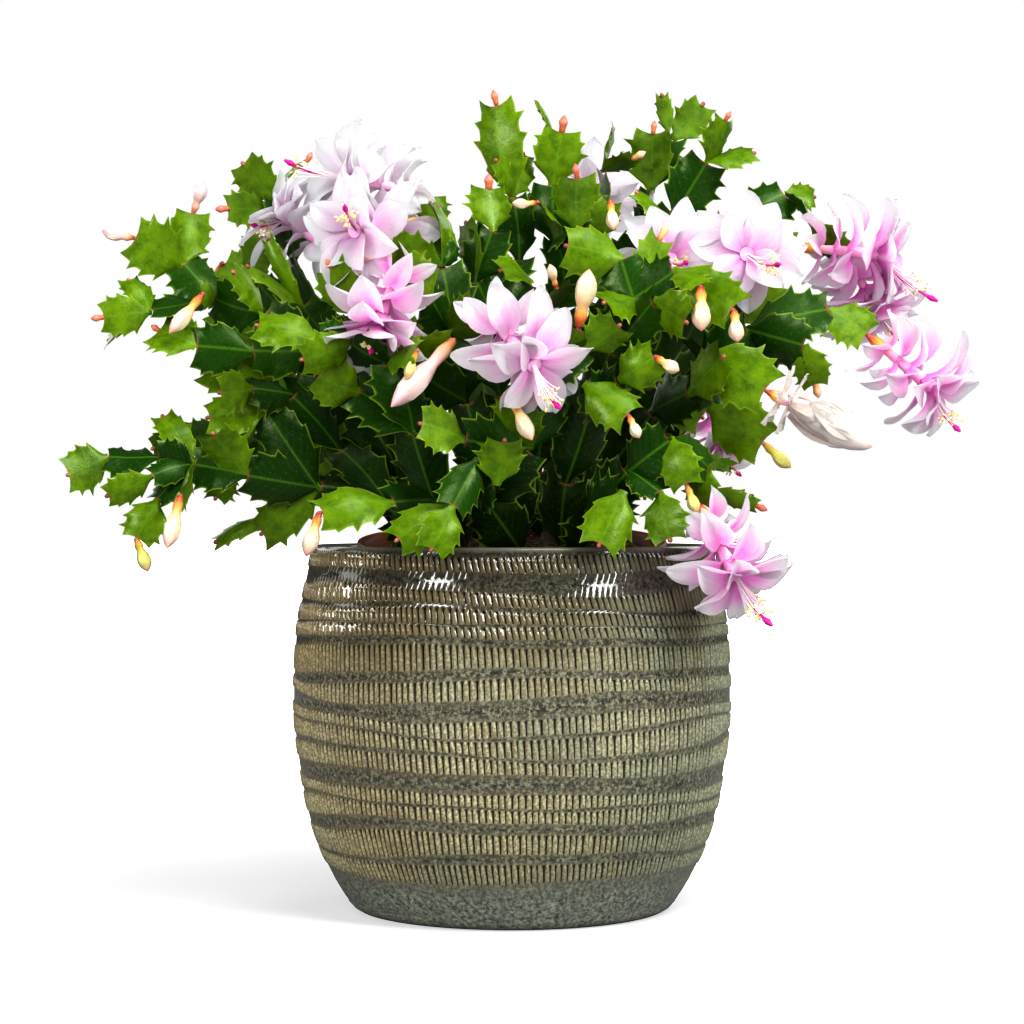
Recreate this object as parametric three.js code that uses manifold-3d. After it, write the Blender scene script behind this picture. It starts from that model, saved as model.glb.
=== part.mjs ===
// A potted christmas cactus in flower: a glazed stoneware cachepot with stamped wavy bands, a plastic
// nursery pot leaning inside it, soil, leafy stems of flat toothed segments, blooms and buds.
// Millimetres, +Z up. The origin is the centre of the cachepot's base, on the table.
// -Y is the side with most blooms, and +X is to its right.

import * as THREE from "three";
import { mergeVertices } from "three/addons/utils/BufferGeometryUtils.js";
import Module from "manifold-3d";

const wasm = await Module();
wasm.setup();

// Driving dimensions

const CLEARANCE = 0.3; // between pieces that touch

const POT_HEIGHT = 158;
const POT_FLOOR = 7;
const POT_SIDES = 28;
const POT_BANDS = 10;
const POT_BAND_RELIEF = 0.9;
// Outer radius of the cachepot against height
const POT_SIDE = [
  [69, 0], [74, 7.2], [81.5, 20.8], [88.3, 39.2], [92, 57.8], [95, 82.5],
  [95.3, 95.5], [94.9, 105], [93.7, 124], [91, 138], [87.3, 156.5],
];

const NURSERY_LEAN = THREE.MathUtils.degToRad(6);
const NURSERY_BASE = new THREE.Vector3(0, 18, 12.9);
const NURSERY_HEIGHT = 148;
const NURSERY_BASE_R = 52;
const NURSERY_TOP_R = 66;
const NURSERY_WALL = 1.5;
const NURSERY_SIDES = 28;

const SOIL_BELOW_RIM = 6;
const SOIL_LUMP = 1.2;
const SOIL_SIDES = 20;

const STALK_R = 3;
const STALK_DEPTH = 12;
const STALK_SIDES = 6;
const ROOT_ABOVE_SOIL = 6;

const BLADE_HALF_THICKNESS = 1.1;
const BLADE_SUNK = 4;

// Half of a segment's outline, from its neck to the notch at its tip: share of length, share of width
const SEGMENT_EDGE = [[0.44, 0.5], [0.52, 0.42], [1.04, 0.3]];
const SEGMENT_NECK = 0.11;
const SEGMENT_THICKEST = 0.55;
const NECK_HALF_THICKNESS = 0.9;
const RUN_BEND = Math.cos(THREE.MathUtils.degToRad(42));

const OVARY_NECK_R = 1.4;
const OVARY_R = 2.7;
const OVARY_LENGTH = 8;
const MOUTH_R = 3.6;
const BLOOM_SIDES = 5;
const STAMEN_R = 1.7;
const STYLE_R = 0.6;
const STIGMA_R = 1.6;
const PETAL_BROAD = 0.58;
const PETAL_CURL = 5;
const PETAL_HALF_THICKNESS = 0.45;
const PETAL_ROOT_R = 1.2;
// Tiers of petals: place along the tube, count, degrees from the tube when shut and when open, length, width
const PETAL_TIERS = [
  [0.3, 3, 118, 128, 20, 10],
  [0.6, 3, 20, 112, 26, 14],
  [0.96, 3, 9, 84, 25, 15],
];
const BUD_NECK_R = 1.1;
const BUD_SIDES = 5;

// Leafy stems, each a rooted cutting. A shoot is
// [shoot it grows from, joint it grows from, width, roll in degrees, joint, joint, ...]
// and shoot 0 starts at the root. A joint is the place where one segment ends and the next begins.
const STEMS = {
  left_high: { root: [-42, 0], shoots: [
    [0, 0, 25, 0, [-49, -10, 186], [-67, -20, 217], [-87, -30, 241], [-106, -34, 257]],
    [0, 4, 24, 0, [-127, -30, 264], [-141, -28, 279]],
    [1, 2, 25, 0, [-161, -36, 289]],
    [1, 2, 20, 40, [-138, -16, 302]],
    [1, 1, 20, 0, [-153, -44, 257]],
    [4, 1, 18, 0, [-172, -50, 254]],
    [4, 1, 13, 30, [-163, -36, 271]],
    [4, 1, 12, 50, [-173, -26, 246]],
    [0, 4, 14, 25, [-117, -50, 273]],
    [0, 3, 25, 0, [-110, -48, 240], [-133, -50, 242], [-149, -44, 249]],
    [0, 2, 26, 0, [-97, -34, 221], [-130, -34, 234]],
    [10, 1, 12, 40, [-115, -52, 232]],
    [1, 1, 12, 30, [-130, -48, 264]],
  ] },
  left_back: { root: [-36, 24], shoots: [
    [0, 0, 24, 0, [-48, 22, 189], [-65, 20, 223], [-81, 14, 248], [-93, 8, 264]],
    [0, 4, 20, 0, [-116, -4, 280]],
    [0, 4, 8, 60, [-108, 6, 293]],
    [0, 3, 22, 0, [-95, 26, 285], [-102, 30, 316]],
    [3, 2, 19, 0, [-121, 24, 329]],
    [3, 2, 15, 30, [-93, 34, 331]],
    [3, 1, 17, 20, [-109, 34, 310], [-130, 26, 309]],
    [0, 2, 24, 0, [-96, 36, 239], [-124, 44, 260]],
    [0, 3, 18, 20, [-77, 24, 286]],
  ] },
  left_low: { root: [-30, -25], shoots: [
    [0, 0, 23, 0, [-51, -38, 172], [-82, -46, 183], [-112, -50, 188], [-134, -50, 192]],
    [0, 4, 21, 0, [-149, -52, 195], [-170, -50, 195], [-187, -46, 188]],
    [0, 4, 14, 30, [-148, -40, 213]],
    [0, 4, 14, -20, [-150, -60, 187], [-168, -62, 179]],
    [0, 4, 18, 10, [-148, -56, 177], [-156, -60, 161]],
    [0, 4, 18, 30, [-136, -74, 179]],
    [0, 3, 20, 0, [-124, -62, 205]],
    [0, 2, 22, 0, [-104, -44, 215], [-128, -48, 212]],
    [0, 2, 20, 0, [-107, -32, 163]],
    [0, 2, 9, 70, [-99, -30, 170], [-128, -28, 163]],
    [0, 1, 24, 0, [-74, -30, 199], [-106, -26, 210]],
    [10, 1, 20, 20, [-94, -40, 222], [-110, -50, 220], [-122, -52, 221]],
  ] },
  front_left: { root: [-20, -34], shoots: [
    [0, 0, 26, 0, [-32, -58, 177], [-41, -68, 206], [-51, -70, 234], [-66, -70, 243]],
    [0, 4, 20, 0, [-79, -72, 243], [-105, -72, 249]],
    [0, 4, 18, -20, [-87, -78, 236]],
    [0, 3, 22, 0, [-62, -60, 260], [-76, -52, 275]],
    [0, 2, 24, 0, [-64, -64, 222], [-80, -66, 230]],
    [0, 1, 22, 0, [-49, -88, 176], [-77, -100, 172]],
    [0, 1, 20, 0, [-25, -94, 175], [-46, -104, 161]],
    [0, 3, 18, 0, [-36, -80, 232]],
    [0, 3, 16, 20, [-24, -74, 243]],
  ] },
  front_mid: { root: [4, -40], shoots: [
    [0, 0, 25, 0, [-11, -64, 177], [7, -76, 199], [15, -80, 222]],
    [0, 1, 20, 0, [-6, -92, 184], [-3, -100, 201]],
    [0, 1, 18, 0, [-14, -92, 193], [-24, -104, 174], [-32, -110, 157]],
    [0, 2, 23, 0, [-20, -88, 202], [-37, -94, 208]],
    [0, 2, 20, 0, [0, -94, 218]],
    [0, 3, 20, 0, [27, -90, 247]],
    [0, 3, 20, 0, [31, -94, 238], [43, -100, 247]],
    [0, 3, 20, 20, [1, -74, 243]],
  ] },
  mid_left: { root: [-12, -12], shoots: [
    [0, 0, 25, 0, [-14, -22, 186], [-20, -32, 220], [-25, -40, 247], [-30, -34, 277]],
    [0, 4, 18, 0, [-52, -46, 285]],
    [0, 4, 12, 40, [-35, -26, 305]],
    [0, 4, 9, 60, [-24, -28, 287], [-32, -20, 304]],
    [0, 3, 22, 0, [-34, -56, 261], [-46, -52, 277]],
    [0, 3, 20, 10, [-14, -66, 258]],
    [0, 2, 24, 0, [-39, -50, 231], [-47, -46, 253]],
    [0, 4, 17, 20, [-40, -8, 299]],
    [0, 4, 18, 0, [-37, 8, 295], [-36, 14, 313]],
  ] },
  top_mid: { root: [2, -4], shoots: [
    [0, 0, 26, 0, [-2, -8, 191], [-5, -16, 224], [-10, -20, 251], [-16, -20, 272]],
    [0, 4, 22, 0, [-20, -14, 298]],
    [0, 4, 22, 0, [-8, -24, 294], [-10, -22, 312]],
    [0, 3, 22, 0, [3, -4, 283], [0, -2, 311], [-7, 0, 352]],
    [3, 2, 16, 0, [5, 8, 331]],
    [3, 2, 14, 20, [-7, -14, 325]],
    [0, 3, 22, 10, [8, -34, 271], [-5, -44, 274]],
  ] },
  top_near: { root: [14, 10], shoots: [
    [0, 0, 26, 0, [11, 10, 191], [15, 8, 226], [19, 4, 261], [19, 4, 292], [18, 2, 317]],
    [0, 5, 23, 0, [22, 0, 340]],
    [0, 5, 9, 60, [18, 8, 339], [11, 10, 354]],
    [0, 4, 24, 0, [28, -18, 295], [28, -20, 317]],
    [0, 4, 18, 10, [11, -20, 306]],
    [0, 3, 24, 0, [39, 16, 284], [40, 14, 324], [45, 14, 343]],
    [5, 2, 16, 0, [54, 8, 329]],
    [0, 4, 14, 20, [37, -26, 291], [42, -32, 305]],
    [0, 3, 18, 20, [19, -30, 268]],
    [5, 1, 20, 0, [36, 38, 317]],
  ] },
  top_far: { root: [26, 20], shoots: [
    [0, 0, 26, 0, [22, 24, 191], [35, 26, 230], [49, 24, 268], [58, 20, 294], [62, 18, 316]],
    [0, 5, 24, 0, [63, 16, 342]],
    [0, 4, 25, 0, [72, 6, 304], [86, 4, 327]],
    [2, 2, 22, 0, [94, 0, 345]],
    [2, 2, 18, 20, [107, 6, 331]],
    [0, 5, 18, 0, [73, 24, 340], [86, 26, 356]],
    [0, 5, 8, 70, [70, 20, 342], [67, 20, 359]],
    [0, 4, 15, 0, [69, -12, 296], [54, -14, 311]],
    [0, 3, 20, 0, [58, -6, 276]],
  ] },
  right_high: { root: [40, 6], shoots: [
    [0, 0, 25, 0, [39, 6, 194], [61, 4, 228], [82, 2, 261], [98, 4, 298], [121, 6, 313]],
    [0, 5, 14, 10, [134, 10, 312]],
    [0, 5, 14, -10, [131, -4, 299], [148, 6, 285]],
    [0, 4, 18, 0, [113, -8, 291], [124, -8, 288]],
    [0, 4, 20, 0, [98, -6, 282]],
    [0, 3, 24, 0, [103, -30, 268], [113, -36, 254]],
  ] },
  right_mid: { root: [38, -14], shoots: [
    [0, 0, 25, 0, [40, -20, 189], [60, -34, 215], [79, -44, 237], [100, -46, 249]],
    [0, 4, 24, 0, [135, -40, 258], [150, -44, 247]],
    [0, 4, 24, 0, [123, -52, 242]],
    [0, 3, 28, 0, [81, -62, 238], [105, -70, 222]],
    [0, 3, 27, 0, [84, -46, 216], [106, -48, 201]],
    [0, 2, 22, 0, [74, -60, 222], [89, -66, 238]],
    [2, 1, 16, 0, [128, -44, 226]],
  ] },
  centre_right: { root: [22, -28], shoots: [
    [0, 0, 25, 0, [23, -46, 186], [32, -58, 214], [41, -66, 239], [50, -70, 260]],
    [0, 4, 24, 0, [45, -66, 277], [22, -70, 282]],
    [0, 4, 20, 0, [37, -88, 257]],
    [0, 4, 24, 0, [67, -74, 271], [90, -86, 254]],
    [0, 3, 22, 0, [58, -86, 258], [72, -92, 249]],
    [0, 2, 20, 0, [44, -84, 226], [58, -90, 235]],
    [0, 2, 21, 0, [30, -86, 224], [47, -94, 211]],
    [0, 4, 16, 0, [62, -50, 287]],
    [3, 1, 14, 20, [76, -92, 263]],
  ] },
  right_low: { root: [30, -42], shoots: [
    [0, 0, 24, 0, [32, -62, 172], [48, -74, 189], [65, -78, 202]],
    [0, 3, 18, 0, [71, -84, 183]],
    [0, 3, 18, 20, [81, -68, 190], [77, -66, 176]],
    [0, 2, 20, 0, [60, -84, 183], [64, -88, 161]],
    [0, 1, 22, 0, [45, -84, 180], [35, -92, 159]],
    [0, 3, 9, 60, [84, -50, 182], [103, -46, 175]],
  ] },
};

// The far side grows like the near side: each of these stems mirrors one of the stems above across
// the plane y = MIRROR_Y, a little smaller.
const MIRROR_Y = 14;
const MIRROR_LIFT = 18;
const MIRRORED = {
  back_low_left: { of: "left_low", root: [-22, 46], across: 0.9, up: 0.86, deep: 0.95 },
  back_high_left: { of: "left_high", root: [-32, 38], across: 0.84, up: 0.86, deep: 1.1 },
  back_middle: { of: "front_mid", root: [2, 48], across: -1, up: 0.95, deep: 0.9 },
  back_right: { of: "right_mid", root: [42, 26], across: 0.85, up: 0.95, deep: 1.1 },
  back_low_right: { of: "right_low", root: [24, 46], across: 1, up: 1, deep: 0.9 },
};

// Blooms: [stem, shoot whose tip carries it, mouth of the tube, stigma, how far the petals open]
const BLOOMS = {
  low_right: ["right_low", 2, [91, -85, 146], [104, -98, 127], 1],
  centre: ["mid_left", 5, [9, -100, 231], [19, -118, 213], 1],
  left_front: ["mid_left", 7, [-66, -54, 290], [-68, -84, 297], 0.8],
  left_hanging: ["mid_left", 4, [-56, -71, 248], [-58, -80, 237], 0.8],
  left_top: ["mid_left", 8, [-73, -6, 319], [-98, -22, 324], 1],
  left_behind: ["left_back", 8, [-103, 18, 305], [-116, 12, 300], 0.9],
  right_near: ["right_high", 4, [99, -46, 281], [110, -74, 274], 1],
  right_far: ["right_high", 3, [161, -15, 284], [183, -24, 263], 0.95],
  right_inner: ["right_high", 2, [160, 0, 262], [173, -6, 245], 0.9],
  right_outer: ["right_mid", 1, [178, -50, 223], [187, -56, 206], 1],
  half_open: ["right_mid", 3, [126, -74, 211], [147, -78, 199], 0],
  top_behind: ["top_near", 9, [37, 66, 318], [37, 84, 312], 0.9],
  middle_behind: ["top_far", 8, [68, -30, 281], [74, -44, 278], 0.9],
  back_low: ["back_low_right", 4, [34, 117, 152], [35, 124, 134], 1],
  back_centre: ["back_middle", 5, [-34, 118, 252], [-40, 136, 240], 1],
  back_right: ["back_right", 3, [102, 112, 206], [112, 124, 190], 1],
};

// Buds: [stem, shoot whose tip carries it, tip of the bud, widest radius]
const BUDS = {
  far_left: ["left_high", 2, [-174, -38, 292], 2.9],
  left_up: ["left_high", 3, [-133, -20, 315], 2.9],
  left_down: ["left_high", 12, [-143, -56, 247], 3.2],
  low_left_end: ["left_low", 4, [-151, -62, 148], 2.7],
  low_left_front: ["left_low", 5, [-140, -84, 158], 3.4],
  front_left: ["front_left", 5, [-82, -103, 155], 3.2],
  left_middle: ["mid_left", 1, [-64, -52, 279], 2.8],
  pale_long: ["front_left", 8, [-49, -86, 215], 4.8],
  front_left_small: ["front_left", 7, [-43, -86, 226], 2.2],
  top_left: ["top_near", 4, [0, -26, 305], 2.2],
  top_hanging: ["top_near", 7, [43, -38, 292], 2.8],
  centre_up: ["front_mid", 5, [31, -94, 270], 4.3],
  centre_small: ["top_near", 8, [16, -34, 278], 2.1],
  right_hanging: ["centre_right", 8, [76, -96, 245], 3.9],
  right_hanging_2: ["centre_right", 3, [91, -90, 241], 3.2],
  right_side: ["centre_right", 5, [67, -96, 229], 2.7],
  right_small: ["centre_right", 6, [51, -97, 202], 2.4],
  front_hanging: ["front_mid", 4, [8, -103, 201], 3.3],
  low_right: ["right_low", 1, [75, -86, 172], 2.6],
  right_down: ["right_mid", 4, [117, -50, 191], 2.9],
  back_left: ["back_high_left", 2, [-146, 88, 274], 3],
};

// Materials

function paint(color, roughness) {
  return new THREE.MeshStandardMaterial({ color, roughness, metalness: 0 });
}

const LEAF_GREEN = 0x3f7a1e;
const PETAL_PINK = 0xf3d3e6;
const BUD_CREAM = 0xf3e0c4;
const GLAZE_OLIVE = 0x6f6a50;
const POT_BROWN = 0x7a3a28;
const SOIL_BROWN = 0x3a2618;

// Solids

const cactus = new THREE.Group();

function solid(positions, triangles) {
  const mesh = new wasm.Mesh({
    numProp: 3,
    vertProperties: new Float32Array(positions.flat()),
    triVerts: new Uint32Array(triangles.flat()),
  });
  return new wasm.Manifold(mesh);
}

function solidOf(geometry) {
  geometry.deleteAttribute("normal");
  geometry.deleteAttribute("uv");
  const merged = mergeVertices(geometry, 1e-3);
  const place = merged.getAttribute("position");
  const positions = [];
  for (let i = 0; i < place.count; i++) positions.push([place.getX(i), place.getY(i), place.getZ(i)]);
  const corners = merged.getIndex().array;
  const triangles = [];
  for (let i = 0; i < corners.length; i += 3) {
    const [a, b, c] = [corners[i], corners[i + 1], corners[i + 2]];
    if (a !== b && b !== c && c !== a) triangles.push([a, b, c]);
  }
  return solid(positions, triangles);
}

function addPiece(name, body, color, roughness) {
  const { vertProperties, triVerts } = body.getMesh();
  const geometry = new THREE.BufferGeometry();
  geometry.setAttribute("position", new THREE.BufferAttribute(vertProperties, 3));
  geometry.setIndex(new THREE.BufferAttribute(triVerts, 1));
  geometry.computeVertexNormals();
  const mesh = new THREE.Mesh(geometry, paint(color, roughness));
  mesh.name = name;
  cactus.add(mesh);
}

function vec(p) {
  return new THREE.Vector3(p[0], p[1], p[2]);
}

// A round bar through rings of [distance along, radius], closed to a point or a flat disc at each end
function bar(start, along, rings, sides) {
  const side = new THREE.Vector3(0, 0, 1).cross(along);
  if (side.length() < 0.1) side.set(1, 0, 0);
  side.normalize();
  const other = along.clone().cross(side);
  const positions = [];
  const triangles = [];
  for (const [distance, radius] of rings) {
    for (let k = 0; k < sides; k++) {
      const angle = (2 * Math.PI * k) / sides;
      const p = start.clone().addScaledVector(along, distance);
      p.addScaledVector(side, radius * Math.cos(angle)).addScaledVector(other, radius * Math.sin(angle));
      positions.push(p.toArray());
    }
  }
  for (let r = 0; r < rings.length - 1; r++) {
    for (let k = 0; k < sides; k++) {
      const a = r * sides + k;
      const b = r * sides + ((k + 1) % sides);
      triangles.push([a, b, b + sides], [a, b + sides, a + sides]);
    }
  }
  const last = (rings.length - 1) * sides;
  for (let k = 1; k < sides - 1; k++) {
    triangles.push([0, k + 1, k], [last, last + k, last + k + 1]);
  }
  return solid(positions, triangles);
}

// The cachepot: a turned jar whose wall rises and falls in wavy bands

function potRadius(z) {
  for (let i = 1; i < POT_SIDE.length; i++) {
    const [r0, z0] = POT_SIDE[i - 1];
    const [r1, z1] = POT_SIDE[i];
    if (z <= z1) return r0 + ((r1 - r0) * (z - z0)) / (z1 - z0);
  }
  return POT_SIDE[POT_SIDE.length - 1][0];
}

function bandWave(row, angle) {
  return 1.3 * Math.sin(2 * angle + row * 1.9) + 0.9 * Math.sin(5 * angle + row * 2.7);
}

function cachepot() {
  const lowest = 22;
  const highest = 150;
  const rows = [];
  for (let i = 0; i < POT_BANDS * 2; i++) {
    const z = lowest + ((highest - lowest) * i) / (POT_BANDS * 2 - 1);
    const relief = i % 2 === 0 ? -POT_BAND_RELIEF : POT_BAND_RELIEF;
    rows.push([potRadius(z) + relief, z, i]);
  }
  const foot = [[0, 0, -1], [POT_SIDE[0][0], 0, -1], [74.5, 8, -1]];
  const rim = [
    [potRadius(156) - 0.3, 156, -1], [86.2, POT_HEIGHT, -1], [83.2, POT_HEIGHT, -1], [81.3, 155.5, -1],
  ];
  const inner = [
    [88.5, 110, -1], [86.5, 57, -1], [76, 26, -1], [70.6, 18.3, -1],
    [62, 8.8, -1], [52, POT_FLOOR, -1], [0, POT_FLOOR, -1],
  ];
  const profile = [...foot, ...rows, ...rim, ...inner];
  const points = profile.map(([r, z]) => new THREE.Vector2(r, z));
  const turned = new THREE.LatheGeometry(points, POT_SIDES);
  const place = turned.getAttribute("position");
  for (let i = 0; i < place.count; i++) {
    const [radius, height, row] = profile[i % profile.length];
    if (row < 0) continue;
    const angle = (2 * Math.PI * Math.floor(i / profile.length)) / POT_SIDES;
    const z = height + bandWave(Math.ceil(row / 2), angle);
    const r = radius - potRadius(height) + potRadius(z);
    place.setXYZ(i, r * Math.sin(angle), z, r * Math.cos(angle));
  }
  turned.rotateX(Math.PI / 2);
  return solidOf(turned);
}

// The nursery pot leans back on the cachepot's floor and wall, and the soil fills it

function leaned(geometry) {
  geometry.rotateX(Math.PI / 2);
  geometry.rotateX(NURSERY_LEAN);
  geometry.translate(NURSERY_BASE.x, NURSERY_BASE.y, NURSERY_BASE.z);
  return solidOf(geometry);
}

function nurseryPot() {
  const slope = (NURSERY_TOP_R - NURSERY_BASE_R) / NURSERY_HEIGHT;
  const lip = 14;
  const inside = (z) => NURSERY_BASE_R + slope * z - NURSERY_WALL;
  const profile = [
    [0, 0], [NURSERY_BASE_R, 0],
    [NURSERY_BASE_R + slope * (NURSERY_HEIGHT - lip), NURSERY_HEIGHT - lip],
    [NURSERY_TOP_R + 1.6, NURSERY_HEIGHT - lip + 0.4],
    [NURSERY_TOP_R + 2, NURSERY_HEIGHT], [inside(NURSERY_HEIGHT), NURSERY_HEIGHT],
    [inside(NURSERY_WALL), NURSERY_WALL], [0, NURSERY_WALL],
  ];
  const points = profile.map(([r, z]) => new THREE.Vector2(r, z));
  return leaned(new THREE.LatheGeometry(points, NURSERY_SIDES));
}

// Height of the soil's surface above the table at x, y, without its lumps
function soilHeight(y) {
  const top = NURSERY_HEIGHT - SOIL_BELOW_RIM;
  const centreY = NURSERY_BASE.y - top * Math.sin(NURSERY_LEAN);
  return NURSERY_BASE.z + top * Math.cos(NURSERY_LEAN) + (y - centreY) * Math.tan(NURSERY_LEAN);
}

function soilBall() {
  const slope = (NURSERY_TOP_R - NURSERY_BASE_R) / NURSERY_HEIGHT;
  const top = NURSERY_HEIGHT - SOIL_BELOW_RIM;
  const radius = (z) => NURSERY_BASE_R + slope * z - NURSERY_WALL - 1.5 * CLEARANCE;
  const floor = NURSERY_WALL + CLEARANCE;
  const profile = [
    [0, floor], [radius(floor), floor], [radius(top - 2), top - 2],
    [54, top], [38, top + 0.6], [20, top - 0.4], [0, top],
  ];
  const points = profile.map(([r, z]) => new THREE.Vector2(r, z));
  const turned = new THREE.LatheGeometry(points, SOIL_SIDES);
  const place = turned.getAttribute("position");
  for (let i = 0; i < place.count; i++) {
    const ring = i % profile.length;
    if (ring < 3 || ring === profile.length - 1) continue;
    const angle = (2 * Math.PI * Math.floor(i / profile.length)) / SOIL_SIDES;
    const lump = Math.sin(3 * angle + ring * 2.1) + Math.sin(7 * angle + ring * 1.3);
    place.setY(i, place.getY(i) + SOIL_LUMP * 0.5 * lump);
  }
  return leaned(turned);
}

// How the leafy stems lie

// A segment's flat face looks out of the bush
function facing(place, along, roll) {
  const outward = new THREE.Vector3(place.x * 0.003, (place.y - 15) * 0.02, 0.35);
  outward.addScaledVector(along, -outward.dot(along)).normalize();
  return outward.applyAxisAngle(along, THREE.MathUtils.degToRad(roll));
}

function segmentAt(from, to, width, roll) {
  const along = to.clone().sub(from);
  const length = along.length();
  along.normalize();
  const middle = from.clone().add(to).multiplyScalar(0.5);
  const up = facing(middle, along, roll);
  return { from, to, along, length, width, up, across: up.clone().cross(along), middle };
}

const ROUGH_EDGE = [[0.02, 0.12], [0.3, 0.46], [0.78, 0.47], [1.04, 0.28]];

function halfWidth(s) {
  if (s < 0 || s > ROUGH_EDGE[3][0]) return -1;
  for (let i = 1; i < 4; i++) {
    const [s0, h0] = ROUGH_EDGE[i - 1];
    const [s1, h1] = ROUGH_EDGE[i];
    if (s <= s1) return h0 + ((h1 - h0) * (s - s0)) / (s1 - s0);
  }
  return -1;
}

function roughOutline(segment) {
  const corners = [];
  for (const side of [1, -1]) {
    const edge = side > 0 ? ROUGH_EDGE : [...ROUGH_EDGE].reverse();
    for (const [s, h] of edge) {
      const p = segment.from.clone().addScaledVector(segment.along, s * segment.length);
      corners.push(p.addScaledVector(segment.across, side * h * segment.width));
    }
  }
  return corners;
}

// Number of places where the edge of one segment goes through or lies on the face of another
function crossings(one, other) {
  let count = 0;
  const corners = roughOutline(one);
  const depth = corners.map((p) => p.clone().sub(other.from).dot(other.up));
  for (let i = 0; i < corners.length; i++) {
    const j = (i + 1) % corners.length;
    let share = -1;
    if (depth[i] * depth[j] < 0) share = depth[i] / (depth[i] - depth[j]);
    else if (Math.abs(depth[i]) < 2 * BLADE_HALF_THICKNESS) share = 0;
    if (share < 0) continue;
    const hit = corners[i].clone().lerp(corners[j], share).sub(other.from);
    const s = hit.dot(other.along) / other.length;
    const h = Math.abs(hit.dot(other.across)) / other.width;
    if (h < halfWidth(s)) count += 1;
  }
  return count;
}

// Number of sample points of a segment inside a bloom or bud
function buried(segment, obstacle) {
  let count = 0;
  const corners = [...roughOutline(segment), segment.middle];
  for (const p of corners) {
    const share = p.clone().sub(obstacle.from).dot(obstacle.along) / obstacle.length;
    const near = obstacle.from.clone().addScaledVector(
      obstacle.along, obstacle.length * Math.min(1, Math.max(0, share)));
    if (near.distanceTo(p) < obstacle.radius) count += 1;
  }
  return count;
}

function obstacle(from, to, radius) {
  const along = to.clone().sub(from);
  const length = along.length();
  return { from, tip: from, along: along.normalize(), length, radius };
}

// Degrees that one segment after another is twisted round its rib, as none faces quite like the last
const TWISTS = [0, 26, -22, 14, -30, 34, -12];
const TURNS = [0, 15, -15, 30, -30, 50, -50, 70, -70];
const SHIFTS = [0, 4, -4, 8, -8, 12, -12];
const placed = [];
const obstacles = [];

function clashes(segment, stem, parent) {
  let total = 0;
  for (const other of placed) {
    if (other === parent || other.from === segment.from) continue;
    const reach = (segment.length + other.length) * 0.6 + 8;
    if (segment.middle.distanceTo(other.middle) > reach) continue;
    const hits = crossings(segment, other) + crossings(other, segment);
    total += other.stem === stem ? hits * 0.4 : hits;
  }
  for (const obstacle of obstacles) {
    if (obstacle.tip.distanceTo(segment.to) < 1) continue;
    total += buried(segment, obstacle);
  }
  return total;
}

// Tries the pose that was chosen by hand first, and turns or shifts a segment that would cross another
function settle(from, to, width, roll, stem, parent) {
  let best = null;
  let least = Infinity;
  for (const shift of SHIFTS) {
    for (const turn of TURNS) {
      const cost = Math.abs(turn) / 60 + Math.abs(shift) / 8;
      if (cost >= least) continue;
      const plain = segmentAt(from, to, width, roll);
      const end = to.clone().addScaledVector(plain.up, shift);
      const segment = segmentAt(from, end, width, roll + turn);
      const score = cost + 2 * clashes(segment, stem, parent);
      if (score < least) {
        least = score;
        best = segment;
      }
    }
  }
  best.stem = stem;
  placed.push(best);
  return best;
}

function grow(stem, root, shoots) {
  const joints = [];
  const ends = [];
  const foot = new THREE.Vector3(root[0], root[1], soilHeight(root[1]) + ROOT_ABOVE_SOIL);
  for (const [fromShoot, fromJoint, width, roll, ...path] of shoots) {
    const first = joints.length === 0;
    const line = [first ? foot : joints[fromShoot][fromJoint]];
    let parent = first ? null : ends[fromShoot][fromJoint];
    const segments = [parent];
    for (const place of path) {
      const before = parent;
      const twist = TWISTS[placed.length % TWISTS.length];
      parent = settle(line[line.length - 1], vec(place), width, roll + twist, stem, before);
      parent.lead = before ? before.along : new THREE.Vector3(0, 0, 1);
      line.push(parent.to);
      segments.push(parent);
    }
    joints.push(line);
    ends.push(segments);
  }
  return { foot, joints, ends };
}

// Shapes of segments, petals, blooms and buds

// A run of flat toothed segments, thick along the rib and sharp at the edge, narrow where two meet
function run(segments, more = 0) {
  const positions = [];
  const triangles = [];
  const put = (from, ...steps) => {
    const p = from.clone();
    for (const [way, distance] of steps) p.addScaledVector(way, distance);
    return positions.push(p.toArray()) - 1;
  };
  const point = (index) => ({ left: index, right: index, top: index, bottom: index });
  let gate = point(put(segments[0].from, [segments[0].lead, -BLADE_SUNK - more]));
  segments.forEach((segment, k) => {
    const { from, to, along, across, up, length, width } = segment;
    const middle = [along, SEGMENT_THICKEST * length];
    const ribs = [1, -1].map((side) => put(from, middle, [up, side * (BLADE_HALF_THICKNESS + more)]));
    const [left, right] = [1, -1].map((side) =>
      SEGMENT_EDGE.map(([s, h]) => put(from, [along, s * length], [across, side * (h * width + more)])));
    const following = segments[k + 1];
    let next = null;
    if (following) {
      const way = along.clone().add(following.along).normalize();
      const rise = up.clone().add(following.up);
      rise.addScaledVector(way, -rise.dot(way)).normalize();
      const aside = rise.clone().cross(way);
      const half = SEGMENT_NECK * width + more;
      const thick = NECK_HALF_THICKNESS + more;
      next = {
        left: put(to, [aside, half]), right: put(to, [aside, -half]),
        top: put(to, [rise, thick]), bottom: put(to, [rise, -thick]),
      };
    } else {
      next = point(put(to, [along, more]));
    }
    for (const [edge, side] of [[left, "left"], [right, "right"]]) {
      for (const [rib, face] of [[ribs[0], "top"], [ribs[1], "bottom"]]) {
        const path = [gate[face], gate[side], ...edge, next[side], next[face]];
        for (let i = 1; i < path.length; i++) {
          if (path[i] === path[i - 1]) continue;
          const turned = (side === "left") === (face === "top");
          triangles.push(turned ? [path[i - 1], rib, path[i]] : [path[i - 1], path[i], rib]);
        }
      }
    }
    gate = next;
  });
  return solid(positions, triangles);
}

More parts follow.
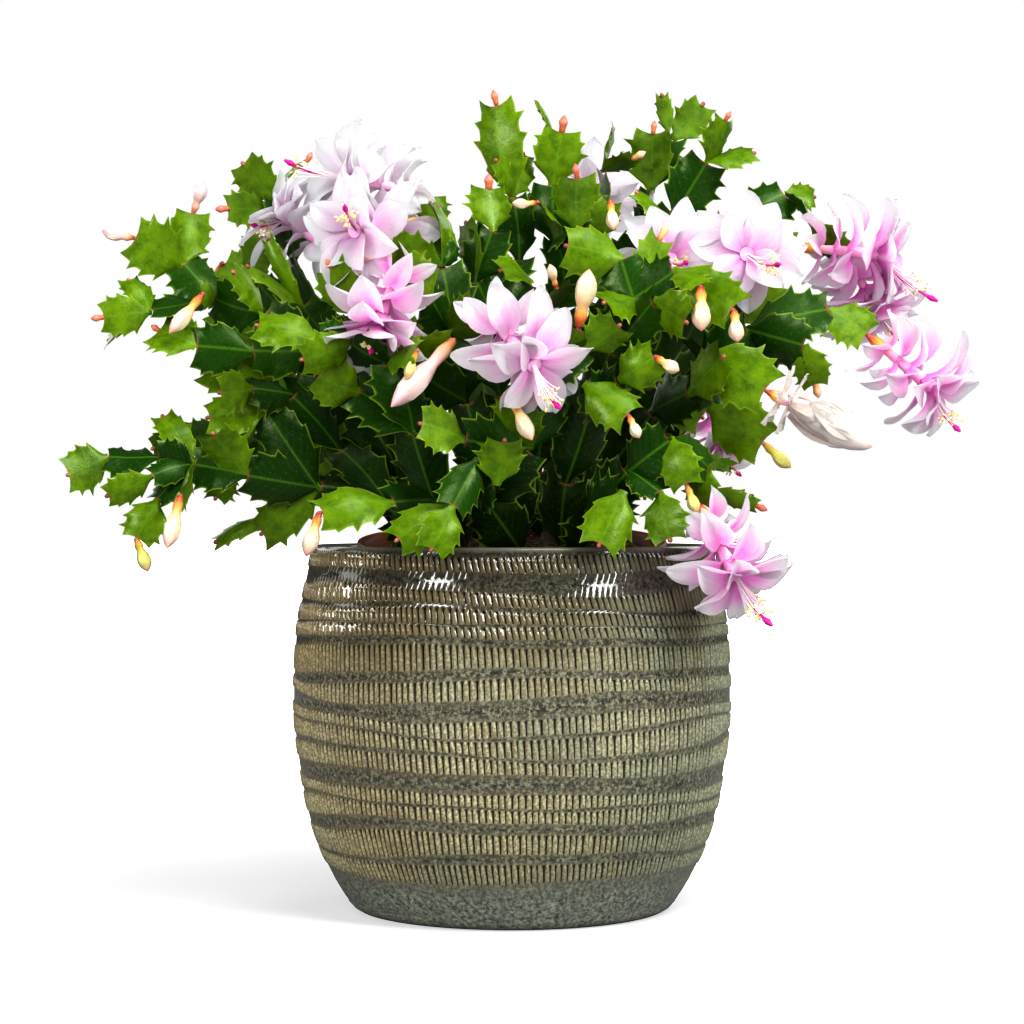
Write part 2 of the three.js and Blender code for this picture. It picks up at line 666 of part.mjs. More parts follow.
// Splits a stem's segments into runs. A segment carries on the run of the segment it grows from where
// it bends gently and no other segment has done so; otherwise it starts a run of its own.
function runs(stem) {
  const all = [];
  const runEndingAt = new Map();
  for (const shoot of stem.ends) {
    for (let i = 1; i < shoot.length; i++) {
      const segment = shoot[i];
      const before = shoot[i - 1];
      const run = runEndingAt.get(before);
      const smooth = run && before.along.dot(segment.along) > RUN_BEND && before.up.dot(segment.up) > RUN_BEND;
      if (smooth) {
        run.push(segment);
        runEndingAt.delete(before);
        runEndingAt.set(segment, run);
      } else {
        const fresh = [segment];
        all.push(fresh);
        runEndingAt.set(segment, fresh);
      }
    }
  }
  return all;
}

// A petal: four corners round a thick middle, with its tip curled back
function petal(from, along, up, length, width, curl, more) {
  const across = up.clone().cross(along);
  const half = width / 2 + more;
  const at = (s, h, lift) => from.clone().addScaledVector(along, s)
    .addScaledVector(across, h).addScaledVector(up, lift).toArray();
  const broad = PETAL_BROAD * length;
  const grown = 1 + more / Math.hypot(length - broad, curl);
  const thick = PETAL_HALF_THICKNESS + more;
  const positions = [
    at(-more, 0, 0), at(broad, half, 0), at(broad + (length - broad) * grown, 0, -curl * grown),
    at(broad, -half, 0), at(broad, 0, thick), at(broad, 0, -thick),
  ];
  const triangles = [];
  for (let i = 0; i < 4; i++) {
    const next = (i + 1) % 4;
    triangles.push([i, 4, next], [i, next, 5]);
  }
  return solid(positions, triangles);
}

// A bloom: ovary and tube, three tiers of petals, the bundle of stamens, the style and its stigma
function bloom(base, mouth, stigma, open, more = 0) {
  const along = mouth.clone().sub(base);
  const length = along.length() - CLEARANCE;
  along.normalize();
  const up = new THREE.Vector3(0, 0, 1);
  if (Math.abs(along.z) > 0.9) up.set(1, 0, 0);
  up.addScaledVector(along, -up.dot(along)).normalize();
  const across = along.clone().cross(up);
  const start = base.clone().addScaledVector(along, CLEARANCE);
  const parts = [bar(start, along, [
    [-more, OVARY_NECK_R + more], [OVARY_LENGTH / 2, OVARY_R + more], [length + more, MOUTH_R + more],
  ], BLOOM_SIDES)];
  const tiers = open > 0 ? PETAL_TIERS : PETAL_TIERS.slice(0, 2);
  for (const [share, count, shut, wide, reach, width] of tiers) {
    const tilt = THREE.MathUtils.degToRad(shut + (wide - shut) * open);
    for (let k = 0; k < count; k++) {
      const angle = (2 * Math.PI * (k + share)) / count;
      const out = up.clone().multiplyScalar(Math.cos(angle)).addScaledVector(across, Math.sin(angle));
      const direction = along.clone().multiplyScalar(Math.cos(tilt)).addScaledVector(out, Math.sin(tilt));
      const inner = along.clone().multiplyScalar(Math.sin(tilt)).addScaledVector(out, -Math.cos(tilt));
      const root = start.clone().addScaledVector(along, share * length).addScaledVector(out, PETAL_ROOT_R);
      parts.push(petal(root, direction, inner, reach, width, open * PETAL_CURL, more));
    }
  }
  const from = mouth.clone().addScaledVector(along, -2);
  const reach = stigma.clone().sub(from);
  const far = reach.length();
  reach.normalize();
  if (open > 0) {
    parts.push(bar(from, reach, [[0, STAMEN_R + more], [far * 0.66 + more, STAMEN_R + more]], 4));
    parts.push(bar(from, reach, [
      [far * 0.6, STYLE_R + more], [far - 3, STIGMA_R + more], [far + more, STYLE_R + more],
    ], 3));
  } else {
    parts.push(bar(from, reach, [
      [0, MOUTH_R * 0.9 + more], [far * 0.35, MOUTH_R * 1.6 + more], [far + more, 0.4 + more],
    ], BLOOM_SIDES));
  }
  return wasm.Manifold.union(parts);
}

function bud(base, tip, radius, more = 0) {
  const along = tip.clone().sub(base);
  const length = along.length() - CLEARANCE;
  along.normalize();
  const start = base.clone().addScaledVector(along, CLEARANCE);
  return bar(start, along, [
    [-more, BUD_NECK_R + more], [length * 0.28, radius * 0.62 + more],
    [length * 0.64, radius + more], [length + more, 0.3 + more],
  ], BUD_SIDES);
}

function largest(body) {
  return body.decompose().reduce((a, b) => (b.volume() > a.volume() ? b : a));
}

// Assembly

const stems = new Map(Object.entries(STEMS));
for (const [name, { of, root, across, up, deep }] of Object.entries(MIRRORED)) {
  const ground = soilHeight(root[1]);
  const turned = STEMS[of].shoots.map(([shoot, joint, width, roll, ...path]) => [
    shoot, joint, width * Math.max(up, 0.9), -roll,
    ...path.map(([x, y, z]) => [x * across, MIRROR_Y + (MIRROR_Y - y) * deep, ground + MIRROR_LIFT + (z - ground) * up]),
  ]);
  stems.set(name, { root, shoots: turned });
}

function tipOf(stem, shoot) {
  return vec(stems.get(stem).shoots[shoot].at(-1));
}

for (const [stem, shoot, mouth, , open] of Object.values(BLOOMS)) {
  obstacles.push(obstacle(tipOf(stem, shoot), vec(mouth), open > 0 ? 10 : 8));
}
for (const [stem, shoot, tip, radius] of Object.values(BUDS)) {
  obstacles.push(obstacle(tipOf(stem, shoot), vec(tip), radius + 1));
}

const plants = new Map();
for (const [name, { root, shoots }] of stems) plants.set(name, grow(name, root, shoots));

addPiece("pot", cachepot(), GLAZE_OLIVE, 0.3);
addPiece("nursery_pot", nurseryPot(), POT_BROWN, 0.5);

const flowers = [];
const cutters = [];
for (const [name, [stem, shoot, mouth, stigma, open]] of Object.entries(BLOOMS)) {
  const base = plants.get(stem).joints[shoot].at(-1);
  flowers.push([`bloom_${name}`, bloom(base, vec(mouth), vec(stigma), open), PETAL_PINK]);
  cutters.push(bloom(base, vec(mouth), vec(stigma), open, CLEARANCE));
}
for (const [name, [stem, shoot, tip, radius]] of Object.entries(BUDS)) {
  const base = plants.get(stem).joints[shoot].at(-1);
  flowers.push([`bud_${name}`, bud(base, vec(tip), radius), BUD_CREAM]);
  cutters.push(bud(base, vec(tip), radius, CLEARANCE));
}

let soil = soilBall();
let crossed = wasm.Manifold.union(cutters);
for (const [name, { foot }] of plants) {
  const up = new THREE.Vector3(0, 0, 1);
  const sole = foot.clone().addScaledVector(up, -ROOT_ABOVE_SOIL - STALK_DEPTH);
  const reach = STALK_DEPTH + ROOT_ABOVE_SOIL;
  const hole = bar(sole.clone().addScaledVector(up, -1), up,
    [[0, STALK_R + 1.5 * CLEARANCE], [reach, STALK_R + 1.5 * CLEARANCE]], STALK_SIDES);
  soil = soil.subtract(hole);
  const stalk = bar(sole, up, [[0, STALK_R], [reach + 2, STALK_R * 0.8]], STALK_SIDES);
  const parts = runs(plants.get(name));
  const whole = wasm.Manifold.union([stalk, ...parts.map((part) => run(part))]);
  const cut = largest(whole.subtract(crossed));
  crossed = wasm.Manifold.union([crossed, ...parts.map((part) => run(part, CLEARANCE))]);
  addPiece(`leafy_stem_${name}`, cut, LEAF_GREEN, 0.45);
}
addPiece("soil", soil, SOIL_BROWN, 0.95);
for (const [name, body, color] of flowers) addPiece(name, body, color, 0.5);

export default cactus;
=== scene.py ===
# A potted christmas cactus in flower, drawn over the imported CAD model. Sizes in this file are in
# millimetres, as in the model's source, until a piece's mesh is made, and +Z is up.
import math

import bmesh
import bpy
import numpy as np
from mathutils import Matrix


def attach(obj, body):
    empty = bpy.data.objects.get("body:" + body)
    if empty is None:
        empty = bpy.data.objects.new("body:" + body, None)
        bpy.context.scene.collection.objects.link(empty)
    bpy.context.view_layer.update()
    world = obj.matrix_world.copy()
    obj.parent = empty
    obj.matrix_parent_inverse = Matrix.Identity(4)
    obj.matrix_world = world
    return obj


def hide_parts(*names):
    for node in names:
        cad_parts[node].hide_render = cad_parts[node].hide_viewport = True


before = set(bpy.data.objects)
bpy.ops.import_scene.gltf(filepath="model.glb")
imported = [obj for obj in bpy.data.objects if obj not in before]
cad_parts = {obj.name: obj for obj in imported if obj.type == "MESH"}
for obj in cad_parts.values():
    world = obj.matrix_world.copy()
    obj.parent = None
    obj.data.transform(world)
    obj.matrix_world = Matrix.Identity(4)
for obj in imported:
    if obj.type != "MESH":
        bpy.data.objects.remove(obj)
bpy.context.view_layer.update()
rng = np.random.default_rng(41)


# The camera stands level in front of the pot, a little over a metre away, and looks at the leaves just
# above its rim. Metres, and millimetres of lens and film.
CAMERA_AWAY = 1.1
CAMERA_UP = 0.1724
LENS = 88
FILM_WIDTH = 36
bpy.ops.object.camera_add(location=(0, -CAMERA_AWAY, CAMERA_UP), rotation=(math.radians(90), 0, 0))
camera = bpy.context.object
camera.data.sensor_width = FILM_WIDTH
camera.data.lens = LENS
camera.data.clip_start = 0.02
bpy.context.scene.camera = camera
bpy.context.scene.view_settings.view_transform = "Standard"
bpy.context.scene.view_settings.gamma = 0.82


# The studio: a white floor that shows only the shadow, a white wall that gives off little light, and
# softboxes all round. Most of the light comes from the right, so the shadow falls to the left.
WHITE = (1, 1, 1, 1)
FLOOR_SIZE = 30
BELOW_THE_POT = 0.0004
SHADOW_STRENGTH = 0.79
WALL_GLOW = 0.09
LAMPS_LOOK_AT = 0.16
bpy.ops.mesh.primitive_plane_add(size=FLOOR_SIZE, location=(0, 0, -BELOW_THE_POT))
floor = bpy.context.object
floor.name = "studio_floor"
floor.is_shadow_catcher = True
white_paper = bpy.data.materials.new("white_paper")
white_paper.use_nodes = True
paper = white_paper.node_tree.nodes["Principled BSDF"].inputs
paper["Base Color"].default_value = (0.3, 0.3, 0.3, 1)
paper["Roughness"].default_value = 0.9
paper["Alpha"].default_value = SHADOW_STRENGTH
floor.data.materials.append(white_paper)

sky = bpy.data.worlds.new("studio_sky")
sky.use_nodes = True
glow = sky.node_tree.nodes["Background"]
glow.inputs["Color"].default_value = WHITE
glow.inputs["Strength"].default_value = WALL_GLOW
wall = sky.node_tree.nodes.new("ShaderNodeBackground")
wall.inputs["Color"].default_value = WHITE
ray = sky.node_tree.nodes.new("ShaderNodeLightPath")
either = sky.node_tree.nodes.new("ShaderNodeMixShader")
sky.node_tree.links.new(ray.outputs["Is Camera Ray"], either.inputs[0])
sky.node_tree.links.new(glow.outputs[0], either.inputs[1])
sky.node_tree.links.new(wall.outputs[0], either.inputs[2])
sky.node_tree.links.new(either.outputs[0], sky.node_tree.nodes["World Output"].inputs["Surface"])
bpy.context.scene.world = sky

# Each softbox: azimuth, where 0 is the camera's side and + is to the right, elevation, distance from the
# pot's rim, which all of them look at, size, watts, and whether it shows in what is glossy
SOFTBOXES = {
    "softbox_right": (51, 23, 1.7, 0.46, 20, True), "softbox_high": (44, 50, 1.7, 0.8, 22, False),
    "softbox_left": (-41, 22, 1.7, 0.42, 15, True), "softbox_top": (30, 70, 1.6, 0.8, 15, True),
    "softbox_side": (-102, 12, 1.8, 0.5, 3, True), "softbox_fill": (-6, 14, 1.9, 1.2, 19, False),
    "softbox_back_right": (145, 22, 1.9, 1.0, 8, True), "softbox_back_left": (-140, 22, 1.9, 1.0, 8, True),
}
for name, (azimuth, elevation, distance, size, watts, mirrored) in SOFTBOXES.items():
    a, e = math.radians(azimuth), math.radians(elevation)
    place = (distance * math.cos(e) * math.sin(a), -distance * math.cos(e) * math.cos(a),
             LAMPS_LOOK_AT + distance * math.sin(e))
    bpy.ops.object.light_add(type="AREA", location=place, rotation=(math.radians(90) - e, 0, a))
    lamp = bpy.context.object
    lamp.name = name
    lamp.data.shape = "SQUARE"
    lamp.data.size = size
    lamp.data.energy = watts
    lamp.visible_glossy = mirrored


# The cachepot: glazed stoneware, turned, with rows of narrow upright marks stamped round it. Between
# the rows run smooth wavy bands, and the glaze is thick and dark at the top, thin and pale on the marks.
POT_HEIGHT = 158
POT_SIDE = [
    (69, 0), (74, 7.2), (81.5, 20.8), (88.3, 39.2), (92, 57.8), (95, 82.5),
    (95.3, 95.5), (94.9, 105), (93.7, 124), (91, 138), (87.3, 156.5),
]
POT_FOOT = [(0.02, 0.9), (58, 0.9), (60, 0), (67.5, 0), (69.6, 1.2), (71.6, 3.4), (71.8, 4)]
POT_LIP_AND_INSIDE = [
    (87.2, 156.2), (86.9, 157.2), (86.1, 157.9), (84.9, 158), (83.6, 157.7), (82.4, 156.6), (82.6, 153),
    (86.2, 132), (88.4, 110), (88.1, 82), (86.4, 57), (76, 26), (70.6, 18.3), (62, 8.8), (52, 7), (0.02, 7),
]
MARKS_ROUND = 208
# Each row of marks at the front: bottom, top, how far its marks lean, in marks
MARK_ROWS = [
    (20.4, 29.6, 0.5), (33.2, 42.1, 0.2), (46.3, 51.9, 0.2), (52.3, 58.5, 0.1), (66.3, 72.3, 0.3),
    (72.8, 80.6, 0.4), (81.6, 88.7, 0.3), (96.6, 106.1, 0.3), (109.6, 118.1, 0.5), (120.6, 126.4, 0.8),
    (126.9, 132.4, 0.8), (133.6, 139.7, 0.9), (147.4, 154.4, 1.0),
]
# Up a mark: share of its height, how deep the gap beside it is, how it narrows
MARK_STEPS = [(0, 0, 1), (0.1, 0.8, 1.3), (0.38, 1, 1), (0.66, 1, 1.6), (0.9, 0.85, 4), (1, 0, 1)]
# Across a mark: share of its pitch, how high it stands
MARK_COLUMNS = [(0, 0), (0.2, 0.72), (0.5, 1), (0.8, 0.72)]
RELIEF = 0.5
# A crest this high lies almost level with the side, and a higher one stands out of it
LEVEL_CREST = 0.62
MARK_WOBBLE = 0.07
# Heights of the rings on the bare side between the foot and the first marks
BARE_SIDE = (4.6, 8, 13)
# Rows keep at least this far apart, and a row is at least this tall
ROW_GAP, ROW_LEAST, ROWS_START, ROWS_END = 0.35, 4.6, 19.0, 155.6
MM = 0.001
SMOOTH_UNDER = math.radians(50)


def smooth_side(heights):
    """The jar's outer radius: a smooth curve through the points of POT_SIDE"""
    radii, levels = np.array(POT_SIDE, float).T
    slope = np.gradient(radii, levels)
    k = np.clip(np.searchsorted(levels, heights) - 1, 0, len(levels) - 2)
    span = levels[k + 1] - levels[k]
    f = np.clip((heights - levels[k]) / span, 0, 1)
    return ((2 * f**3 - 3 * f**2 + 1) * radii[k] + (f**3 - 2 * f**2 + f) * span * slope[k]
            + (3 * f**2 - 2 * f**3) * radii[k + 1] + (f**3 - f**2) * span * slope[k + 1])


def make_mesh(name, points, faces, materials, uv=None, tint=None, slots=None):
    """A finished piece: its points come in millimetres, and its object stays at the origin."""
    mesh = bpy.data.meshes.new(name)
    mesh.from_pydata((np.asarray(points) * MM).tolist(), [], faces)
    corner = np.zeros(len(mesh.loops), int)
    mesh.loops.foreach_get("vertex_index", corner)
    if uv is not None:
        mesh.uv_layers.new(name="surface").data.foreach_set("uv", np.asarray(uv, float)[corner].ravel())
    if tint is not None:
        whole = np.ones((len(points), 4))
        whole[:, :3] = tint
        mesh.attributes.new("tint", "FLOAT_COLOR", "POINT").data.foreach_set("color", whole.ravel())
    for material in materials:
        mesh.materials.append(material)
    if slots is not None:
        mesh.polygons.foreach_set("material_index", slots)
    mesh.update()
    piece = bpy.data.objects.new(name, mesh)
    bpy.context.collection.objects.link(piece)
    bpy.ops.object.select_all(action="DESELECT")
    piece.select_set(True)
    bpy.context.view_layer.objects.active = piece
    bpy.ops.object.shade_smooth_by_angle(angle=SMOOTH_UNDER)
    return piece


def ring_faces(rings, sides):
    """Faces between rings of points, from one ring to the next, with a cap at both ends"""
    last = (rings - 1) * sides
    faces = []
    for below in range(0, last, sides):
        for k in range(sides):
            beside = (k + 1) % sides
            faces.append([below + k, below + beside, below + sides + beside, below + sides + k])
    return faces + [list(range(sides))[::-1], list(range(last, last + sides))]


def band_edges(angles):
    """Heights of the bottom and top of every row of marks at each angle, as waves with room between"""

    def wave(around, phase):
        return (2.0 * np.sin(2 * around + phase) + 1.1 * np.sin(3 * around + 2.1 * phase)
                + 0.5 * np.sin(7 * around + 3.7 * phase))

    edges = []
    below = np.full(len(angles), ROWS_START)
    for row, (bottom, top, _) in enumerate(MARK_ROWS):
        calm = 0.4 if row in (0, len(MARK_ROWS) - 1) else 1
        for edge, height in enumerate((bottom, top)):
            phase = row * 0.9 + edge * 0.7
            level = height + calm * (wave(angles, phase) - wave(0, phase))
            level = np.maximum(level, below + (ROW_LEAST if edge else ROW_GAP))
            below = np.minimum(level, ROWS_END - 0.4 * (1 - edge))
            edges.append(below)
    return edges


def cachepot_rings():
    """Rings of (radius, height, crest, band, turn in marks) up the outside, over the lip and down inside"""
    share, high = np.array(MARK_COLUMNS).T
    column = (np.arange(MARKS_ROUND)[:, None] + share).ravel()
    angles = 2 * math.pi * column / MARKS_ROUND
    crest = np.tile(high, MARKS_ROUND)
    still = np.zeros(len(column))

    def plain_ring(radius, height):
        return still + radius, still + height, still, still + 1, still

    rings = [plain_ring(radius, height) for radius, height in POT_FOOT]
    rings += [plain_ring(smooth_side(height), height) for height in BARE_SIDE]
    edges = band_edges(angles)
    wobble = rng.normal(0, MARK_WOBBLE, (len(MARK_ROWS), MARKS_ROUND))
    for row, (_, _, lean) in enumerate(MARK_ROWS):
        low, high = edges[2 * row], edges[2 * row + 1]
        drift = 0.35 * np.sin(3 * angles + row) + 0.2 * np.sin(8 * angles + 2 * row)
        if row:
            # The band under this row follows the marks of the row below by half
            middle = (edges[2 * row - 1] + low) / 2
            rings.append((smooth_side(middle) - 0.1, middle, still, still + 1, turn * 0.5))
        for step, deep, taper in MARK_STEPS:
            grain = crest**taper
            height = low + (high - low) * step
            turn = np.repeat(wobble[row], len(MARK_COLUMNS)) + drift * 0.4 - lean * 0.55 * (step - 0.5)
            if 0 < step < 1:
                stand = 0.25 + (grain - LEVEL_CREST) * deep * 2.4
                rings.append((smooth_side(height) + RELIEF * stand, height, grain, still, turn))
            else:
                rings.append((smooth_side(height) - RELIEF * 0.12, height, still + 0.35, still + 0.7, turn))
    rings += [plain_ring(radius, height) for radius, height in POT_LIP_AND_INSIDE]
    return column, rings


column, rings = cachepot_rings()
points, tint = [], []
for radius, height, crest, band, turn in rings:
    around = 2 * math.pi * (column + turn) / MARKS_ROUND
    points.append(np.stack([radius * np.sin(around), -radius * np.cos(around), height], 1))
    tint.append(np.stack([crest, band, column % 1], 1))


def new_material(name):
    """A material with its node tree, its shader and a function that adds a node with its settings"""
    material = bpy.data.materials.new(name)
    material.use_nodes = True
    tree = material.node_tree
    shader = tree.nodes["Principled BSDF"]

    def node(kind, inputs=None, **settings):
        added = tree.nodes.new(kind)
        for key, value in settings.items():
            setattr(added, key, value)
        for key, value in (inputs or {}).items():
            if isinstance(value, bpy.types.NodeSocket):
                tree.links.new(value, added.inputs[key])
            else:
                added.inputs[key].default_value = value
        return added

    return material, shader, node, tree.links.new


def ramp(node, factor, stops):
    """A colour ramp: stops are (place, (r, g, b))"""
    added = node("ShaderNodeValToRGB", {"Fac": factor})
    elements = added.color_ramp.elements
    while len(elements) < len(stops):
        elements.new(0.5)
    for element, (place, colour) in zip(elements, stops):
        element.position = place
        element.color = (*colour, 1)
    return added.outputs["Color"]


def fade(node, factor, *stops):
    """A ramp of greys: stops are (place, level)"""
    return ramp(node, factor, [(place, (level, level, level)) for place, level in stops])


def blend(node, factor, one, other):
    mixed = node("ShaderNodeMix", {0: factor}, data_type="RGBA")
    for socket, value in ((6, one), (7, other)):
        if isinstance(value, bpy.types.NodeSocket):
            mixed.id_data.links.new(value, mixed.inputs[socket])
        else:
            mixed.inputs[socket].default_value = (*value, 1)
    return mixed.outputs[2]


def maths(node, way, *values, clamp=False):
    return node("ShaderNodeMath", dict(enumerate(values)), operation=way, use_clamp=clamp).outputs[0]


def add(node, one, other, clamp=False):
    return maths(node, "ADD", one, other, clamp=clamp)


def times(node, one, other, clamp=False):
    return maths(node, "MULTIPLY", one, other, clamp=clamp)


def less(node, one, other, clamp=False):
    return maths(node, "SUBTRACT", one, other, clamp=clamp)


def stir(node, value, cloud, much, clamp=False):
    """A value made uneven by a noise round 0.5"""
    return add(node, value, times(node, less(node, cloud, 0.5), much), clamp)


def noise(node, place, scale, detail=3, roughness=0.6):
    return node("ShaderNodeTexNoise", {"Vector": place, "Scale": scale, "Detail": detail,
                                       "Roughness": roughness}).outputs["Fac"]


def tint_of(node):
    """The three shares that a piece's points keep in their tint"""
    split = node("ShaderNodeSeparateColor",
                 {0: node("ShaderNodeAttribute", attribute_name="tint").outputs["Color"]})
    return split.outputs["Red"], split.outputs["Green"], split.outputs["Blue"]


def bumps(node, link, shader, height, strength, distance):
    bump = node("ShaderNodeBump", {"Height": height, "Strength": strength, "Distance": distance})
    link(bump.outputs["Normal"], shader.inputs["Normal"])


glaze, shader, node, link = new_material("stoneware_glaze")
place = node("ShaderNodeTexCoord").outputs["Object"]
crest, band, across_mark = tint_of(node)
xyz = node("ShaderNodeSeparateXYZ", {0: place})
height = times(node, xyz.outputs["Z"], 1 / (POT_HEIGHT * MM))
uneven = stir(node, height, noise(node, place, 28, 4), 0.3)
mark = ramp(node, uneven, [
    (0.1, (0.34, 0.34, 0.22)), (0.28, (0.53, 0.50, 0.30)), (0.52, (0.48, 0.47, 0.31)),
    (0.7, (0.32, 0.31, 0.20)), (0.84, (0.13, 0.115, 0.058)), (0.97, (0.055, 0.05, 0.032))])
cool = add(node, noise(node, place, 19, 2), times(node, xyz.outputs["X"], 1.6))
mark = blend(node, fade(node, cool, (0.5, 0), (0.68, 0.75)), mark, (0.29, 0.33, 0.24))
rusty = add(node, noise(node, place, 11, 3), times(node, xyz.outputs["X"], -4))
mark = blend(node, fade(node, rusty, (0.55, 0), (0.95, 0.6)), mark, (0.46, 0.33, 0.14))
grain = noise(node, place, 900, 2)
mark = blend(node, fade(node, grain, (0.44, 0.75), (0.62, 0)), mark, (0.13, 0.115, 0.07))
fleck = noise(node, place, 620, 3, 0.75)
smooth = ramp(node, fleck, [
    (0.4, (0.018, 0.017, 0.013)), (0.5, (0.075, 0.072, 0.052)), (0.62, (0.26, 0.25, 0.17))])
smooth_low = ramp(node, fleck, [
    (0.36, (0.04, 0.045, 0.038)), (0.5, (0.16, 0.18, 0.145)), (0.66, (0.36, 0.37, 0.27))])
smooth = blend(node, fade(node, height, (0.12, 1), (0.2, 0)), smooth, smooth_low)
smooth_high = ramp(node, fleck, [(0.4, (0.007, 0.007, 0.006)), (0.62, (0.06, 0.06, 0.045))])
smooth = blend(node, fade(node, height, (0.7, 0), (0.95, 1)), smooth, smooth_high)
smooth = blend(node, fade(node, height, (0.985, 0), (0.995, 1)), smooth, (0.12, 0.115, 0.085))
marked = less(node, 1.0, band, clamp=True)
colour = blend(node, band, mark, smooth)
flank = fade(node, across_mark, (0.08, 0), (0.2, 0.8), (0.45, 0))
rust = times(node, flank, fade(node, rusty, (0.36, 0), (0.66, 1)))
colour = blend(node, times(node, rust, marked), colour, (0.24, 0.115, 0.03))
# The gaps beside the marks are painted near-black: painted shade in the recesses between the marks
painted_groove_shade = times(node, fade(node, crest, (0.17, 1), (0.6, 0)), marked)
link(blend(node, painted_groove_shade, colour, (0.008, 0.007, 0.005)), shader.inputs["Base Color"])
link(fade(node, uneven, (0.1, 0.36), (0.45, 0.33), (0.72, 0.16), (0.9, 0.07)), shader.inputs["Roughness"])
bumps(node, link, shader, noise(node, place, 420, 3), 0.25, 0.0003)

cachepot = make_mesh("glazed_cachepot", np.concatenate(points), ring_faces(len(rings), len(column)),
                     [glaze], tint=np.concatenate(tint))
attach(cachepot, "root")
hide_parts("pot")


# The nursery pot: thin brown-red plastic, moulded, with a folded lip. The plant was bought in it, and it
# stands in the cachepot and leans back on its wall. Its profile runs under the floor, up the outside,
# over the lip and down inside, as (radius, height) on its own axis.
NURSERY_LEAN = math.radians(6)
NURSERY_BASE = np.array([0, 18, 12.9])
NURSERY_HEIGHT = 148
NURSERY_BASE_R = 52
NURSERY_TOP_R = 66
NURSERY_WALL = 1.5
NURSERY_SIDES = 96


def nursery_radius(height):
    return NURSERY_BASE_R + (NURSERY_TOP_R - NURSERY_BASE_R) / NURSERY_HEIGHT * height


profile = [(2, 1.8), (38, 1.8), (40, 0), (51, 0), (52, 1)]
profile += [(nursery_radius(z), z) for z in (20, 60, 100, 133.4)]
profile += [(67.3, 134), (67.8, 136), (68, 147), (67.6, 147.9), (66.6, 148.1), (65, 147.6)]
profile += [(nursery_radius(z) - NURSERY_WALL, z) for z in (146, 100, 50, 3.4)] + [(2, 3.4)]
bpy.ops.object.select_all(action="DESELECT")
bpy.ops.mesh.primitive_circle_add(
    vertices=NURSERY_SIDES, radius=profile[0][0] * MM, fill_type="NGON", calc_uvs=False)
nursery = bpy.context.object
nursery.name = nursery.data.name = "nursery_planter"
bpy.ops.object.mode_set(mode="EDIT")
bpy.ops.mesh.select_all(action="SELECT")
bpy.ops.transform.translate(value=(0, 0, profile[0][1] * MM))
for (radius, height), (wider, higher) in zip(profile, profile[1:]):
    bpy.ops.mesh.extrude_region_move(TRANSFORM_OT_translate={"value": (0, 0, (higher - height) * MM)})
    bpy.ops.transform.resize(value=(wider / radius, wider / radius, 1))
bpy.ops.mesh.select_all(action="SELECT")
bpy.ops.mesh.normals_make_consistent(inside=False)
# Extruding adds its faces in another order each time, so they are sorted by two of their corners
shell = bmesh.from_edit_mesh(nursery.data)
shell.verts.index_update()
shell.faces.sort(key=lambda face: face.verts[0].index * len(shell.verts) + face.verts[2].index)
bpy.ops.object.mode_set(mode="OBJECT")
nursery.rotation_euler = (NURSERY_LEAN, 0, 0)
nursery.location = NURSERY_BASE * MM
bpy.ops.object.transform_apply(location=True, rotation=True, scale=True)
bpy.ops.object.shade_smooth_by_angle(angle=SMOOTH_UNDER)
nursery_plastic, shader, node, link = new_material("nursery_plastic")
dust = noise(node, node("ShaderNodeTexCoord").outputs["Object"], 60, 4)
brick = ramp(node, dust, [(0.35, (0.16, 0.035, 0.018)), (0.7, (0.27, 0.085, 0.045))])
link(brick, shader.inputs["Base Color"])
link(fade(node, dust, (0.3, 0.4), (0.7, 0.6)), shader.inputs["Roughness"])
nursery.data.materials.append(nursery_plastic)
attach(nursery, "root")
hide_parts("nursery_pot")


# The potting soil: a dark mix pressed round the roots, a little below the nursery pot's rim, with loose
# crumbs, fibres and bits of bark on top.
SOIL_BELOW_RIM = 6
SOIL_SIDES = 180
SOIL_BITS = 520
FIBRE_SHARE = 0.45
# The soil's materials: crumb, then bark and fibre
SOIL_BARK_SLOT, SOIL_FIBRE_SLOT = 1, 2


def leaned(points):
    """From the nursery pot's own axis to where it leans"""
    x, y, z = np.asarray(points, float).T
    c, s = math.cos(NURSERY_LEAN), math.sin(NURSERY_LEAN)
    return np.stack([x, y * c - z * s, y * s + z * c], 1) + NURSERY_BASE


top = NURSERY_HEIGHT - SOIL_BELOW_RIM
profile = [(2, 2), (51, 2), (nursery_radius(70) - 2, 70), (nursery_radius(top) - 2.2, top - 2.5)]
profile += [(r, top + 0.3 * math.sin(r * 0.2)) for r in np.linspace(62, 2, 40)]
angles = 2 * math.pi * np.arange(SOIL_SIDES) / SOIL_SIDES
points = np.array([[r * math.sin(a), -r * math.cos(a), z] for r, z in profile for a in angles])
faces = ring_faces(len(profile), SOIL_SIDES)
x, y = points[:, 0], points[:, 1]
lumps = np.zeros(len(points))
for size, tall in ((0.11, 0.8), (0.23, 0.6), (0.55, 0.45), (1.1, 0.3)):
    turn = rng.uniform(0, 6.28, 4)
    lumps += tall * np.sin(x * size + turn[0] + 2 * np.sin(y * size * 0.7 + turn[1]))
    lumps += tall * np.sin(y * size * 1.1 + turn[2] + 2 * np.sin(x * size * 0.8 + turn[3]))
surface = points[:, 2] > top - 2
points[surface, 2] += 0.45 * lumps[surface] + rng.normal(0, 0.25, surface.sum())
points = leaned(points).tolist()
slots = [0] * len(faces)
corners = np.array([[-1, 0, 0], [0, -1, 0], [0, 0, -1], [1, 0, 0], [0, 1, 0], [0, 0, 1]], float)
